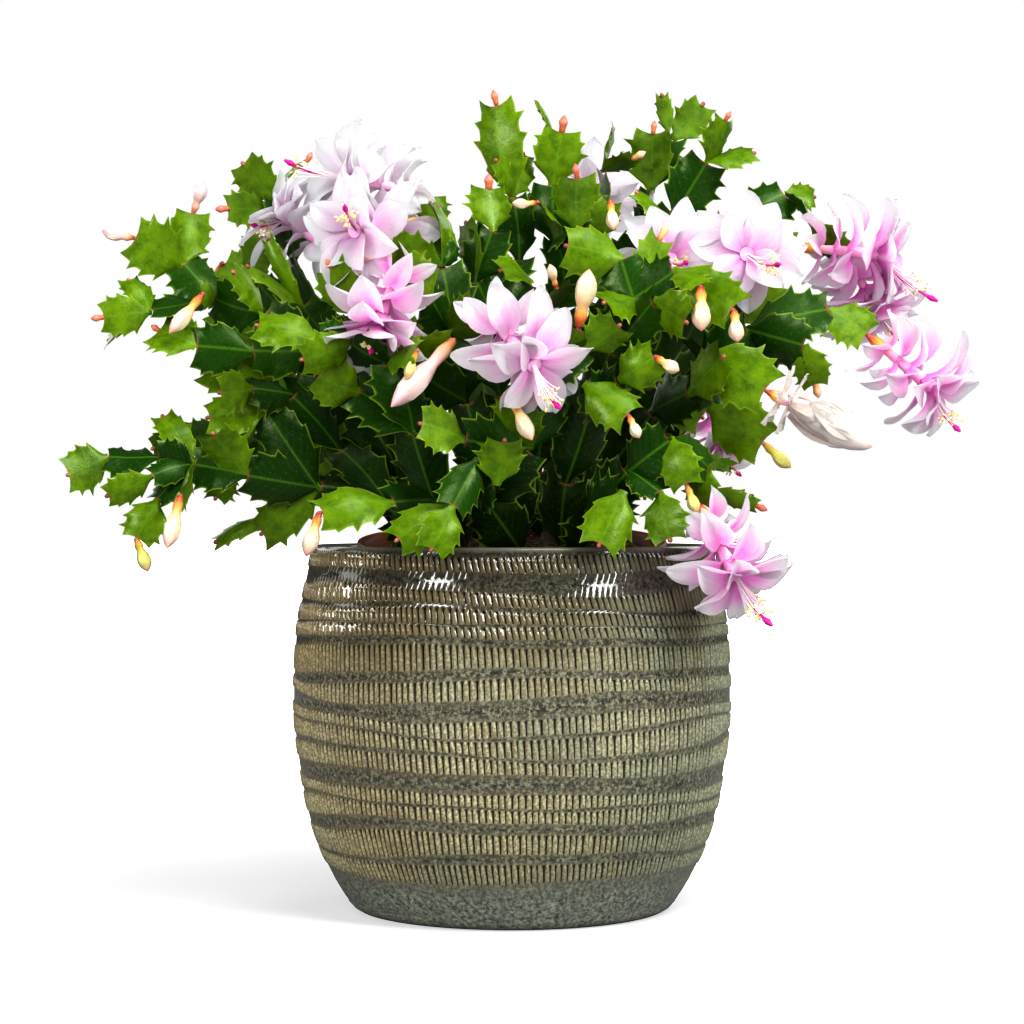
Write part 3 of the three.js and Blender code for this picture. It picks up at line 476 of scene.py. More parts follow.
for _ in range(SOIL_BITS):
    r, a = 60 * math.sqrt(rng.uniform(0.02, 1)), rng.uniform(0, 2 * math.pi)
    middle = np.array([r * math.sin(a), -r * math.cos(a), top + rng.uniform(0.2, 1.6)])
    fibre = rng.uniform() < FIBRE_SHARE
    half = np.array([rng.uniform(3, 8), 0.25, 0.25]) if fibre else rng.uniform(0.5, 2.2, 3) * (1, 1, 0.5)
    yaw, pitch = rng.uniform(0, 6.28), rng.uniform(-0.25, 0.25)
    ahead = np.array([math.cos(yaw) * math.cos(pitch), math.sin(yaw) * math.cos(pitch), math.sin(pitch)])
    aside = np.array([-math.sin(yaw), math.cos(yaw), 0])
    axes = np.stack([ahead, aside, np.cross(ahead, aside)])
    start = len(points)
    points += leaned(middle + (corners * half * rng.uniform(0.7, 1.2, (6, 1))) @ axes).tolist()
    for corner in ((3, 4, 5), (4, 0, 5), (0, 1, 5), (1, 3, 5), (4, 3, 2), (0, 4, 2), (1, 0, 2), (3, 1, 2)):
        faces.append([start + k for k in corner])
        slots.append(SOIL_FIBRE_SLOT if fibre else SOIL_BARK_SLOT)


def mottled_skin(name, scale, detail, stops, roughness, spread=0.6, bump=None):
    """A material mottled from colour to colour, and uneven where bump gives (strength, distance)"""
    material, shader, node, link = new_material(name)
    mottle = noise(node, node("ShaderNodeTexCoord").outputs["Object"], scale, detail, spread)
    link(ramp(node, mottle, stops), shader.inputs["Base Color"])
    shader.inputs["Roughness"].default_value = roughness
    if bump:
        bumps(node, link, shader, mottle, *bump)
    return material


soil_crumb = mottled_skin("soil_crumb", 700, 4, [
    (0.35, (0.008, 0.005, 0.003)), (0.55, (0.04, 0.022, 0.012)), (0.75, (0.12, 0.07, 0.035))],
    0.95, 0.7, (0.8, 0.001))
soil_bark = mottled_skin("soil_bark", 300, 2, [
    (0.4, (0.03, 0.014, 0.007)), (0.65, (0.16, 0.075, 0.03))], 0.85)
soil_fibre = mottled_skin("soil_fibre", 90, 2, [
    (0.4, (0.10, 0.07, 0.02)), (0.65, (0.22, 0.17, 0.07))], 0.8)
soil = make_mesh("potting_soil", points, faces, [soil_crumb, soil_bark, soil_fibre], slots=slots)
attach(soil, "root")
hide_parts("soil")


# The leafy stems: each is a rooted cutting, a chain of flat, fleshy, toothed segments that forks at the
# blunt tip of a segment. Old segments near the soil are dark and woody, and the youngest are bright; low
# segments under the crown are darkened further with painted shade.
CLEARANCE = 0.3
ROOT_ABOVE_SOIL = 6
# A shoot is (shoot it grows from, joint it grows from, width, roll in degrees, joint, joint, ...)
STEMS = {
    "left_high": ([-42, 0], [
      [0, 0, 25, 0, [-49, -10, 186], [-67, -20, 217], [-87, -30, 241], [-106, -34, 257]],
      [0, 4, 24, 0, [-127, -30, 264], [-141, -28, 279]],
      [1, 2, 25, 0, [-161, -36, 289]],
      [1, 2, 20, 40, [-138, -16, 302]],
      [1, 1, 20, 0, [-153, -44, 257]],
      [4, 1, 18, 0, [-172, -50, 254]],
      [4, 1, 13, 30, [-163, -36, 271]],
      [4, 1, 12, 50, [-173, -26, 246]],
      [0, 4, 14, 25, [-117, -50, 273]],
      [0, 3, 25, 0, [-110, -48, 240], [-133, -50, 242], [-149, -44, 249]],
      [0, 2, 26, 0, [-97, -34, 221], [-130, -34, 234]],
      [10, 1, 12, 40, [-115, -52, 232]],
      [1, 1, 12, 30, [-130, -48, 264]],
    ]),
    "left_back": ([-36, 24], [
      [0, 0, 24, 0, [-48, 22, 189], [-65, 20, 223], [-81, 14, 248], [-93, 8, 264]],
      [0, 4, 20, 0, [-116, -4, 280]],
      [0, 4, 8, 60, [-108, 6, 293]],
      [0, 3, 22, 0, [-95, 26, 285], [-102, 30, 316]],
      [3, 2, 19, 0, [-121, 24, 329]],
      [3, 2, 15, 30, [-93, 34, 331]],
      [3, 1, 17, 20, [-109, 34, 310], [-130, 26, 309]],
      [0, 2, 24, 0, [-96, 36, 239], [-124, 44, 260]],
      [0, 3, 18, 20, [-77, 24, 286]],
    ]),
    "left_low": ([-30, -25], [
      [0, 0, 23, 0, [-51, -38, 172], [-82, -46, 183], [-112, -50, 188], [-134, -50, 192]],
      [0, 4, 21, 0, [-149, -52, 195], [-170, -50, 195], [-187, -46, 188]],
      [0, 4, 14, 30, [-148, -40, 213]],
      [0, 4, 14, -20, [-150, -60, 187], [-168, -62, 179]],
      [0, 4, 18, 10, [-148, -56, 177], [-156, -60, 161]],
      [0, 4, 18, 30, [-136, -74, 179]],
      [0, 3, 20, 0, [-124, -62, 205]],
      [0, 2, 22, 0, [-104, -44, 215], [-128, -48, 212]],
      [0, 2, 20, 0, [-107, -32, 163]],
      [0, 2, 9, 70, [-99, -30, 170], [-128, -28, 163]],
      [0, 1, 24, 0, [-74, -30, 199], [-106, -26, 210]],
      [10, 1, 20, 20, [-94, -40, 222], [-110, -50, 220], [-122, -52, 221]],
    ]),
    "front_left": ([-20, -34], [
      [0, 0, 26, 0, [-32, -58, 177], [-41, -68, 206], [-51, -70, 234], [-66, -70, 243]],
      [0, 4, 20, 0, [-79, -72, 243], [-105, -72, 249]],
      [0, 4, 18, -20, [-87, -78, 236]],
      [0, 3, 22, 0, [-62, -60, 260], [-76, -52, 275]],
      [0, 2, 24, 0, [-64, -64, 222], [-80, -66, 230]],
      [0, 1, 22, 0, [-49, -88, 176], [-77, -100, 172]],
      [0, 1, 20, 0, [-25, -94, 175], [-46, -104, 161]],
      [0, 3, 18, 0, [-36, -80, 232]],
      [0, 3, 16, 20, [-24, -74, 243]],
    ]),
    "front_mid": ([4, -40], [
      [0, 0, 25, 0, [-11, -64, 177], [7, -76, 199], [15, -80, 222]],
      [0, 1, 20, 0, [-6, -92, 184], [-3, -100, 201]],
      [0, 1, 18, 0, [-14, -92, 193], [-24, -104, 174], [-32, -110, 157]],
      [0, 2, 23, 0, [-20, -88, 202], [-37, -94, 208]],
      [0, 2, 20, 0, [0, -94, 218]],
      [0, 3, 20, 0, [27, -90, 247]],
      [0, 3, 20, 0, [31, -94, 238], [43, -100, 247]],
      [0, 3, 20, 20, [1, -74, 243]],
    ]),
    "mid_left": ([-12, -12], [
      [0, 0, 25, 0, [-14, -22, 186], [-20, -32, 220], [-25, -40, 247], [-30, -34, 277]],
      [0, 4, 18, 0, [-52, -46, 285]],
      [0, 4, 12, 40, [-35, -26, 305]],
      [0, 4, 9, 60, [-24, -28, 287], [-32, -20, 304]],
      [0, 3, 22, 0, [-34, -56, 261], [-46, -52, 277]],
      [0, 3, 20, 10, [-14, -66, 258]],
      [0, 2, 24, 0, [-39, -50, 231], [-47, -46, 253]],
      [0, 4, 17, 20, [-40, -8, 299]],
      [0, 4, 18, 0, [-37, 8, 295], [-36, 14, 313]],
    ]),
    "top_mid": ([2, -4], [
      [0, 0, 26, 0, [-2, -8, 191], [-5, -16, 224], [-10, -20, 251], [-16, -20, 272]],
      [0, 4, 22, 0, [-20, -14, 298]],
      [0, 4, 22, 0, [-8, -24, 294], [-10, -22, 312]],
      [0, 3, 22, 0, [3, -4, 283], [0, -2, 311], [-7, 0, 352]],
      [3, 2, 16, 0, [5, 8, 331]],
      [3, 2, 14, 20, [-7, -14, 325]],
      [0, 3, 22, 10, [8, -34, 271], [-5, -44, 274]],
    ]),
    "top_near": ([14, 10], [
      [0, 0, 26, 0, [11, 10, 191], [15, 8, 226], [19, 4, 261], [19, 4, 292], [18, 2, 317]],
      [0, 5, 23, 0, [22, 0, 340]],
      [0, 5, 9, 60, [18, 8, 339], [11, 10, 354]],
      [0, 4, 24, 0, [28, -18, 295], [28, -20, 317]],
      [0, 4, 18, 10, [11, -20, 306]],
      [0, 3, 24, 0, [39, 16, 284], [40, 14, 324], [45, 14, 343]],
      [5, 2, 16, 0, [54, 8, 329]],
      [0, 4, 14, 20, [37, -26, 291], [42, -32, 305]],
      [0, 3, 18, 20, [19, -30, 268]],
      [5, 1, 20, 0, [36, 38, 317]],
    ]),
    "top_far": ([26, 20], [
      [0, 0, 26, 0, [22, 24, 191], [35, 26, 230], [49, 24, 268], [58, 20, 294], [62, 18, 316]],
      [0, 5, 24, 0, [63, 16, 342]],
      [0, 4, 25, 0, [72, 6, 304], [86, 4, 327]],
      [2, 2, 22, 0, [94, 0, 345]],
      [2, 2, 18, 20, [107, 6, 331]],
      [0, 5, 18, 0, [73, 24, 340], [86, 26, 356]],
      [0, 5, 8, 70, [70, 20, 342], [67, 20, 359]],
      [0, 4, 15, 0, [69, -12, 296], [54, -14, 311]],
      [0, 3, 20, 0, [58, -6, 276]],
    ]),
    "right_high": ([40, 6], [
      [0, 0, 25, 0, [39, 6, 194], [61, 4, 228], [82, 2, 261], [98, 4, 298], [121, 6, 313]],
      [0, 5, 14, 10, [134, 10, 312]],
      [0, 5, 14, -10, [131, -4, 299], [148, 6, 285]],
      [0, 4, 18, 0, [113, -8, 291], [124, -8, 288]],
      [0, 4, 20, 0, [98, -6, 282]],
      [0, 3, 24, 0, [103, -30, 268], [113, -36, 254]],
    ]),
    "right_mid": ([38, -14], [
      [0, 0, 25, 0, [40, -20, 189], [60, -34, 215], [79, -44, 237], [100, -46, 249]],
      [0, 4, 24, 0, [135, -40, 258], [150, -44, 247]],
      [0, 4, 24, 0, [123, -52, 242]],
      [0, 3, 28, 0, [81, -62, 238], [105, -70, 222]],
      [0, 3, 27, 0, [84, -46, 216], [106, -48, 201]],
      [0, 2, 22, 0, [74, -60, 222], [89, -66, 238]],
      [2, 1, 16, 0, [128, -44, 226]],
    ]),
    "centre_right": ([22, -28], [
      [0, 0, 25, 0, [23, -46, 186], [32, -58, 214], [41, -66, 239], [50, -70, 260]],
      [0, 4, 24, 0, [45, -66, 277], [22, -70, 282]],
      [0, 4, 20, 0, [37, -88, 257]],
      [0, 4, 24, 0, [67, -74, 271], [90, -86, 254]],
      [0, 3, 22, 0, [58, -86, 258], [72, -92, 249]],
      [0, 2, 20, 0, [44, -84, 226], [58, -90, 235]],
      [0, 2, 21, 0, [30, -86, 224], [47, -94, 211]],
      [0, 4, 16, 0, [62, -50, 287]],
      [3, 1, 14, 20, [76, -92, 263]],
    ]),
    "right_low": ([30, -42], [
      [0, 0, 24, 0, [32, -62, 172], [48, -74, 189], [65, -78, 202]],
      [0, 3, 18, 0, [71, -84, 183]],
      [0, 3, 18, 20, [81, -68, 190], [77, -66, 176]],
      [0, 2, 20, 0, [60, -84, 183], [64, -88, 161]],
      [0, 1, 22, 0, [45, -84, 180], [35, -92, 159]],
      [0, 3, 9, 60, [84, -50, 182], [103, -46, 175]],
    ]),
}
# The far side: each of these stems mirrors a stem above across the plane y = MIRROR_Y.
MIRROR_Y = 14
MIRROR_LIFT = 18
MIRRORED = {
    "back_low_left": ("left_low", [-22, 46], 0.9, 0.86, 0.95),
    "back_high_left": ("left_high", [-32, 38], 0.84, 0.86, 1.1),
    "back_middle": ("front_mid", [2, 48], -1, 0.95, 0.9),
    "back_right": ("right_mid", [42, 26], 0.85, 0.95, 1.1),
    "back_low_right": ("right_low", [24, 46], 1, 1, 0.9),
}
# Blooms: stem and shoot that carry it, mouth of the tube, stigma, how far the petals open
BLOOMS = {
    "low_right": ("right_low", 2, [91, -85, 146], [104, -98, 127], 1),
    "centre": ("mid_left", 5, [9, -100, 231], [19, -118, 213], 1),
    "left_front": ("mid_left", 7, [-66, -54, 290], [-68, -84, 297], 0.8),
    "left_hanging": ("mid_left", 4, [-56, -71, 248], [-58, -80, 237], 0.8),
    "left_top": ("mid_left", 8, [-73, -6, 319], [-98, -22, 324], 1),
    "left_behind": ("left_back", 8, [-103, 18, 305], [-116, 12, 300], 0.9),
    "right_near": ("right_high", 4, [99, -46, 281], [110, -74, 274], 1),
    "right_far": ("right_high", 3, [161, -15, 284], [183, -24, 263], 0.95),
    "right_inner": ("right_high", 2, [160, 0, 262], [173, -6, 245], 0.9),
    "right_outer": ("right_mid", 1, [178, -50, 223], [187, -56, 206], 1),
    "half_open": ("right_mid", 3, [126, -74, 211], [147, -78, 199], 0),
    "top_behind": ("top_near", 9, [37, 66, 318], [37, 84, 312], 0.9),
    "middle_behind": ("top_far", 8, [68, -30, 281], [74, -44, 278], 0.9),
    "back_low": ("back_low_right", 4, [34, 117, 152], [35, 124, 134], 1),
    "back_centre": ("back_middle", 5, [-34, 118, 252], [-40, 136, 240], 1),
    "back_right": ("back_right", 3, [102, 112, 206], [112, 124, 190], 1),
}
# Buds: stem and shoot that carry it, tip, widest radius
BUDS = {
    "far_left": ("left_high", 2, [-174, -38, 292], 2.9),
    "left_up": ("left_high", 3, [-133, -20, 315], 2.9),
    "left_down": ("left_high", 12, [-143, -56, 247], 3.2),
    "low_left_end": ("left_low", 4, [-151, -62, 148], 2.7),
    "low_left_front": ("left_low", 5, [-140, -84, 158], 3.4),
    "front_left": ("front_left", 5, [-82, -103, 155], 3.2),
    "left_middle": ("mid_left", 1, [-64, -52, 279], 2.8),
    "pale_long": ("front_left", 8, [-49, -86, 215], 4.8),
    "front_left_small": ("front_left", 7, [-43, -86, 226], 2.2),
    "top_left": ("top_near", 4, [0, -26, 305], 2.2),
    "top_hanging": ("top_near", 7, [43, -38, 292], 2.8),
    "centre_up": ("front_mid", 5, [31, -94, 270], 4.3),
    "centre_small": ("top_near", 8, [16, -34, 278], 2.1),
    "right_hanging": ("centre_right", 8, [76, -96, 245], 3.9),
    "right_hanging_2": ("centre_right", 3, [91, -90, 241], 3.2),
    "right_side": ("centre_right", 5, [67, -96, 229], 2.7),
    "right_small": ("centre_right", 6, [51, -97, 202], 2.4),
    "front_hanging": ("front_mid", 4, [8, -103, 201], 3.3),
    "low_right": ("right_low", 1, [75, -86, 172], 2.6),
    "right_down": ("right_mid", 4, [117, -50, 191], 2.9),
    "back_left": ("back_high_left", 2, [-146, 88, 274], 3),
}


def soil_height(y):
    level = NURSERY_HEIGHT - SOIL_BELOW_RIM
    centre = NURSERY_BASE[1] - level * math.sin(NURSERY_LEAN)
    return NURSERY_BASE[2] + level * math.cos(NURSERY_LEAN) + (y - centre) * math.tan(NURSERY_LEAN)


for name, (like, root, across, up, deep) in MIRRORED.items():
    ground = soil_height(root[1])
    STEMS[name] = (root, [
        [shoot, joint, width * max(up, 0.9), -roll]
        + [[x * across, MIRROR_Y + (MIRROR_Y - y) * deep, ground + MIRROR_LIFT + (z - ground) * up]
           for x, y, z in path]
        for shoot, joint, width, roll, *path in STEMS[like][1]])

ROUGH_EDGE = np.array([(0.02, 0.12), (0.3, 0.46), (0.78, 0.47), (1.04, 0.28)])
# Degrees that one segment after another is twisted round its rib, as none faces quite like the last
TWISTS = (0, 26, -22, 14, -30, 34, -12)
TURNS = (0, 15, -15, 30, -30, 50, -50, 70, -70)
SHIFTS = (0, 4, -4, 8, -8, 12, -12)
BLADE_HALF_THICKNESS = 1.1
# What a turn of 60 degrees, a shift of 8 mm and a crossing cost when a segment's pose is chosen
DEGREES_A_POINT, MM_A_POINT, POINTS_A_CROSSING = 60, 8, 2
# A crossing with the segment's own stem counts for less, as those press on each other
OWN_STEM_SHARE = 0.4
BLOOM_RADIUS = 10
HALF_OPEN_RADIUS = 8


def unit(v):
    return v / math.sqrt(v @ v)


def turn_about(v, axis, degrees):
    a = math.radians(degrees)
    return v * math.cos(a) + np.cross(axis, v) * math.sin(a) + axis * (axis @ v) * (1 - math.cos(a))


class Segment:
    """One flat segment, from joint to joint, with the way its face looks"""

    def __init__(self, start, end, width, roll):
        self.start, self.end, self.width = start, end, width
        self.length = math.sqrt((end - start) @ (end - start))
        self.along = (end - start) / self.length
        self.middle = (start + end) / 2
        outward = np.array([self.middle[0] * 0.003, (self.middle[1] - 15) * 0.02, 0.35])
        self.up = turn_about(unit(outward - self.along * (outward @ self.along)), self.along, roll)
        self.across = np.cross(self.up, self.along)
        ring = [(s, h) for s, h in ROUGH_EDGE] + [(s, -h) for s, h in ROUGH_EDGE[::-1]]
        self.outline = np.array([
            start + self.along * s * self.length + self.across * h * width for s, h in ring])


def crossings(outlines, start, along, across, up, length, width):
    """How often each outline goes through or lies on a face; outline or face may be a whole stack."""
    out = outlines - start[..., None, :]
    depth = (out * up[..., None, :]).sum(-1)
    after = np.roll(depth, -1, axis=-1)
    through = depth * after < 0
    share = np.where(through, depth / np.where(through, depth - after, 1), 0)
    met = through | (np.abs(depth) < 2 * BLADE_HALF_THICKNESS)
    hit = out + (np.roll(out, -1, axis=-2) - out) * share[..., None]
    s = (hit * along[..., None, :]).sum(-1) / length[..., None]
    h = np.abs((hit * across[..., None, :]).sum(-1)) / width[..., None]
    allowed = np.interp(s, ROUGH_EDGE[:, 0], ROUGH_EDGE[:, 1])
    allowed[(s < ROUGH_EDGE[0, 0]) & (s >= 0)] = ROUGH_EDGE[0, 1]
    allowed[(s < 0) | (s > ROUGH_EDGE[3, 0])] = -1
    return (met & (h < allowed)).sum(-1)


def buried(segment, thing):
    """Sample points of a segment that lie in a bloom or bud"""
    start, along, length, radius = thing
    spots = np.vstack([segment.outline, segment.middle])
    share = np.clip((spots - start) @ along / length, 0, 1)
    near = start + along * (length * share)[:, None]
    return int((np.sqrt(((near - spots) ** 2).sum(1)) < radius).sum())


placed = []
fields = {key: [] for key in ("outline", "start", "along", "across", "up", "length", "width", "middle")}
flowers = []
for stem, shoot, tip, radius in (
        [(stem, shoot, mouth, BLOOM_RADIUS if opened > 0 else HALF_OPEN_RADIUS)
         for stem, shoot, mouth, _, opened in BLOOMS.values()]
        + [(stem, shoot, tip, radius + 1) for stem, shoot, tip, radius in BUDS.values()]):
    base, tip = np.array(STEMS[stem][1][shoot][-1], float), np.array(tip, float)
    flowers.append((base, unit(tip - base), math.dist(base, tip), radius))


def clashes(segment, stem, parent, stack):
    """How much a segment crosses its neighbours and the flowers; crossing its own stem counts less"""
    total = 0
    if placed:
        far = np.sqrt(((stack["middle"] - segment.middle) ** 2).sum(1))
        near = np.nonzero(far <= (segment.length + stack["length"]) * 0.6 + 8)[0]
        near = [k for k in near if placed[k] is not parent and placed[k].start is not segment.start]
        if near:
            part = {key: stack[key][near] for key in stack}
            hits = crossings(segment.outline[None], part["start"], part["along"], part["across"],
                             part["up"], part["length"], part["width"])
            hits = hits + crossings(part["outline"], segment.start[None], segment.along[None],
                                    segment.across[None], segment.up[None], np.array([segment.length]),
                                    np.array([segment.width]))
            for k, count in zip(near, hits):
                total += count * OWN_STEM_SHARE if placed[k].stem == stem else count
    return total + sum(buried(segment, thing) for thing in flowers if math.dist(thing[0], segment.end) >= 1)


def settle(start, end, width, roll, stem, parent):
    """The pose as listed, or turned or shifted where the segment would cross another"""
    best, least = None, math.inf
    stack = {key: np.array(values) for key, values in fields.items()}
    plain = Segment(start, end, width, roll)
    for shift in SHIFTS:
        for turn in TURNS:
            cost = abs(turn) / DEGREES_A_POINT + abs(shift) / MM_A_POINT
            if cost >= least:
                continue
            segment = Segment(start, end + plain.up * shift, width, roll + turn)
            score = cost + POINTS_A_CROSSING * clashes(segment, stem, parent, stack)
            if score < least:
                best, least = segment, score
    best.stem, best.carries = stem, 0
    if parent is not None:
        parent.carries += 1
    placed.append(best)
    for key, values in fields.items():
        values.append(getattr(best, key))
    return best


def grow(stem, root, shoots):
    """All segments of a stem, shoot by shoot, each knowing how many segments it carries"""
    foot = np.array([root[0], root[1], soil_height(root[1]) + ROOT_ABOVE_SOIL])
    joints, chains = [], []
    for from_shoot, from_joint, width, roll, *path in shoots:
        line = [joints[from_shoot][from_joint] if joints else foot]
        chain = [chains[from_shoot][from_joint] if joints else None]
        for place in path:
            twist = TWISTS[len(placed) % len(TWISTS)]
            chain.append(settle(line[-1], np.array(place, float), width, roll + twist, stem, chain[-1]))
            line.append(chain[-1].end)
        joints.append(line)
        chains.append(chain)
    return foot, joints, chains


plants = {name: grow(name, root, shoots) for name, (root, shoots) in STEMS.items()}

# Half of a segment's edge: share of length at the edge and at the rib, share of width, 1 at a tooth's point
EDGE = np.array([
    (-0.05, -0.05, 0.085, 0), (0.03, 0.03, 0.10, 0), (0.11, 0.09, 0.17, 0), (0.19, 0.16, 0.28, 0),
    (0.26, 0.22, 0.37, 0), (0.35, 0.28, 0.475, 1), (0.365, 0.32, 0.395, 0), (0.45, 0.40, 0.425, 0),
    (0.53, 0.47, 0.465, 0), (0.63, 0.54, 0.55, 1), (0.64, 0.58, 0.44, 0), (0.71, 0.65, 0.425, 0),
    (0.77, 0.71, 0.44, 0), (0.855, 0.77, 0.50, 1), (0.86, 0.82, 0.385, 0), (0.94, 0.89, 0.365, 0),
    (1.07, 0.965, 0.345, 1),
])
COLUMNS_ACROSS = np.array([-1, -0.9, -0.66, -0.34, 0, 0.34, 0.66, 0.9, 1])


class Shape:
    """Points, faces, surface places, tints and materials of a piece while it is put together"""

    def __init__(self):
        self.points, self.faces, self.uv, self.tint, self.slots = [], [], [], [], []

    def add(self, points, faces, uv, tint=(0, 0, 0), slot=0):
        start = len(self.points)
        self.points.extend(np.asarray(points).tolist())
        self.faces.extend([[start + k for k in face] for face in faces])
        self.uv.extend(np.broadcast_to(uv, (len(points), 2)).tolist())
        self.tint.extend(np.broadcast_to(tint, (len(points), 3)).tolist())
        self.slots.extend([slot] * len(faces))

    def finish(self, name, materials):
        return make_mesh(name, self.points, self.faces, materials, self.uv, self.tint, self.slots)


def lens_faces(rows, columns):
    """Faces of a thin leaf: an upper and a lower grid that share their border"""
    shared = {}
    faces = []

    def at(i, j, lower):
        border = i in (0, rows - 1) or j in (0, columns - 1)
        return shared.setdefault((i, j, lower and not border), len(shared))

    for i in range(rows):
        for j in range(columns):
            at(i, j, False)
    for i in range(1, rows - 1):
        for j in range(1, columns - 1):
            at(i, j, True)
    for i in range(rows - 1):
        for j in range(columns - 1):
            square = [(i, j), (i, j + 1), (i + 1, j + 1), (i + 1, j)]
            faces.append([at(*corner, False) for corner in square])
            faces.append([at(*corner, True) for corner in square[:1] + square[:0:-1]])
    return faces


def both_sides(upper, lower):
    """The upper grid of a thin leaf, then the lower one without the border that they share"""
    kept = lower[1:-1, 1:-1]
    return np.concatenate([upper.reshape(-1, upper.shape[-1]), kept.reshape(-1, kept.shape[-1])])


# Across a leaf and then up it turns the other way round than on a petal, so its faces are reversed
LEAF_FACES = [face[::-1] for face in lens_faces(len(EDGE), len(COLUMNS_ACROSS))]


def blade(shape, segment, age_and_shade, draw):
    """Adds one toothed segment, a little arched, cupped and wavy, over the solid of the same segment"""
    length, width = segment.length, segment.width
    teeth = EDGE[:, 3]
    side_h = [EDGE[:, 2] * (1 + teeth * draw.uniform(-0.1, 0.12, len(EDGE))) for _ in range(2)]
    side_s = [EDGE[:, 0] + teeth * draw.uniform(-0.03, 0.03, len(EDGE)) for _ in range(2)]
    arch, cup = draw.uniform(-0.05, 0.13), draw.uniform(-0.22, 0.46)
    wave, phase = draw.uniform(0.4, 1.5) * width / 24, draw.uniform(0, 6.3)
    t = COLUMNS_ACROSS
    s = np.stack([EDGE[:, 1] + (side_s[int(c >= 0)] - EDGE[:, 1]) * abs(c) ** 2.2 for c in t], 1)
    h = np.stack([side_h[int(c >= 0)] * c for c in t], 1)
    lateral = h * width
    rise = arch * length * np.sin(math.pi * np.clip(s, 0, 1)) - cup * lateral**2 / width * 1.6
    rise = rise + wave * np.abs(t) ** 3 * np.sin(9 * s + phase) * np.clip(s * 3, 0, 1)
    thick = BLADE_HALF_THICKNESS * (0.78 + 0.5 * age_and_shade)
    body = thick * (1 - np.abs(t) ** 2.4) ** 0.75 * np.clip(0.55 + 1.6 * s * (1.12 - s), 0.3, 1)
    body = body + 0.3 * (0.3 + age_and_shade) * np.exp(-((t / 0.22) ** 2)) * np.clip(1.1 - s, 0, 1)
    centre = segment.start + segment.along * (s * length)[..., None] + segment.across * lateral[..., None]
    upper = centre + segment.up * (rise + body)[..., None]
    lower = centre + segment.up * (rise - body)[..., None]
    surface = np.stack([h * 0.9 + 0.5, s], -1)
    shade = np.clip(age_and_shade + 0.12 * (draw.uniform() - 0.5), 0, 1)
    edge = np.broadcast_to(np.clip((np.abs(t) - 0.66) / 0.34, 0, 1), s.shape)
    tints = [np.stack([np.full(s.shape, shade), np.full(s.shape, under), edge], -1) for under in (0, 1)]
    shape.add(both_sides(upper, lower), LEAF_FACES, both_sides(surface, surface), both_sides(*tints))


def tube(path, radii, sides):
    """A closed round bar along a path, with its points, faces and surface places"""
    path = np.asarray(path, float)
    ahead = np.gradient(path, axis=0)
    ahead /= np.linalg.norm(ahead, axis=1)[:, None]
    side = np.cross(ahead[0], (0.31, 0.17, 0.93) if abs(ahead[0][2]) < 0.8 else (0.93, 0.2, 0.1))
    points, uv = [], []
    angles = 2 * math.pi * np.arange(sides)[:, None] / sides
    for k, (place, forward, radius) in enumerate(zip(path, ahead, np.broadcast_to(radii, len(path)))):
        side = unit(side - forward * (side @ forward))
        points.append(place + radius * (np.cos(angles) * side + np.sin(angles) * np.cross(forward, side)))
        uv += [(a / sides, k / (len(path) - 1)) for a in range(sides)]
    return np.concatenate(points), ring_faces(len(path), sides), np.array(uv)


def surface_of(node):
    """The place in the object, and the shares across and along a piece's own surface"""
    place = node("ShaderNodeTexCoord").outputs
    shares = node("ShaderNodeSeparateXYZ", {0: place["UV"]}).outputs
    return place["Object"], shares["X"], shares["Y"]


leaf_skin, shader, node, link = new_material("leaf_skin")
place, over, up_leaf = surface_of(node)
age_and_shade, under, edge = tint_of(node)
mottle = noise(node, place, 70, 4)
# The age tint also holds painted shade for segments under the crown, so both old and shaded segments are
# drawn darker
aged_and_shaded = stir(node, age_and_shade, mottle, 0.35, clamp=True)
skin = ramp(node, aged_and_shaded, [
    (0, (0.11, 0.2, 0.001)), (0.2, (0.02, 0.082, 0.0005)), (0.5, (0.0055, 0.032, 0.0005)),
    (0.78, (0.002, 0.012, 0.0005)), (1, (0.006, 0.011, 0.001))])
patch = noise(node, place, 190, 3, 0.7)
skin = blend(node, fade(node, patch, (0.35, 0.5), (0.6, 0)), skin, (0.005, 0.038, 0.0006))
apart = maths(node, "ABSOLUTE", less(node, over, 0.5))
rib = fade(node, apart, (0.0, 1), (0.012, 0.7), (0.035, 0))
slant = less(node, up_leaf, times(node, apart, 0.9))
vein = add(node, maths(node, "SINE", times(node, slant, 46)), times(node, mottle, 0.6))
vein = fade(node, vein, (0.9, 0), (1.3, 0.035))
skin = blend(node, maths(node, "MAXIMUM", times(node, rib, 0.4), vein), skin, (0.10, 0.25, 0.01))
skin = blend(node, fade(node, edge, (0.72, 0), (1.0, 0.75)), skin, (0.20, 0.30, 0.012))
powder = times(node, under, add(node, 0.12, times(node, aged_and_shaded, 0.3)))
skin = blend(node, powder, skin, (0.03, 0.07, 0.01))
near_end = fade(node, up_leaf, (0.93, 0), (0.965, 1))
apex = times(node, near_end, fade(node, apart, (0.06, 1), (0.14, 0)))
skin = blend(node, times(node, apex, 0.8), skin, (0.23, 0.075, 0.03))
brown = noise(node, place, 38, 2)
worn = times(node, fade(node, brown, (0.6, 0), (0.68, 1)), fade(node, edge, (0.86, 0), (1, 1)))
skin = blend(node, times(node, worn, 0.65), skin, (0.25, 0.09, 0.03))
speck = node("ShaderNodeTexVoronoi", {"Vector": place, "Scale": 700}).outputs["Distance"]
skin = blend(node, fade(node, speck, (0.08, 0.32), (0.16, 0)), skin, (0.3, 0.42, 0.15))
link(skin, shader.inputs["Base Color"])
shader.inputs["Specular IOR Level"].default_value = 0.36
shader.inputs["Specular Tint"].default_value = (0.8, 1, 0.5, 1)
shine = add(node, 0.2, times(node, patch, 0.22))
link(add(node, shine, times(node, under, 0.2)), shader.inputs["Roughness"])
bumps(node, link, shader, add(node, times(node, vein, 0.5), patch), 0.35, 0.0006)

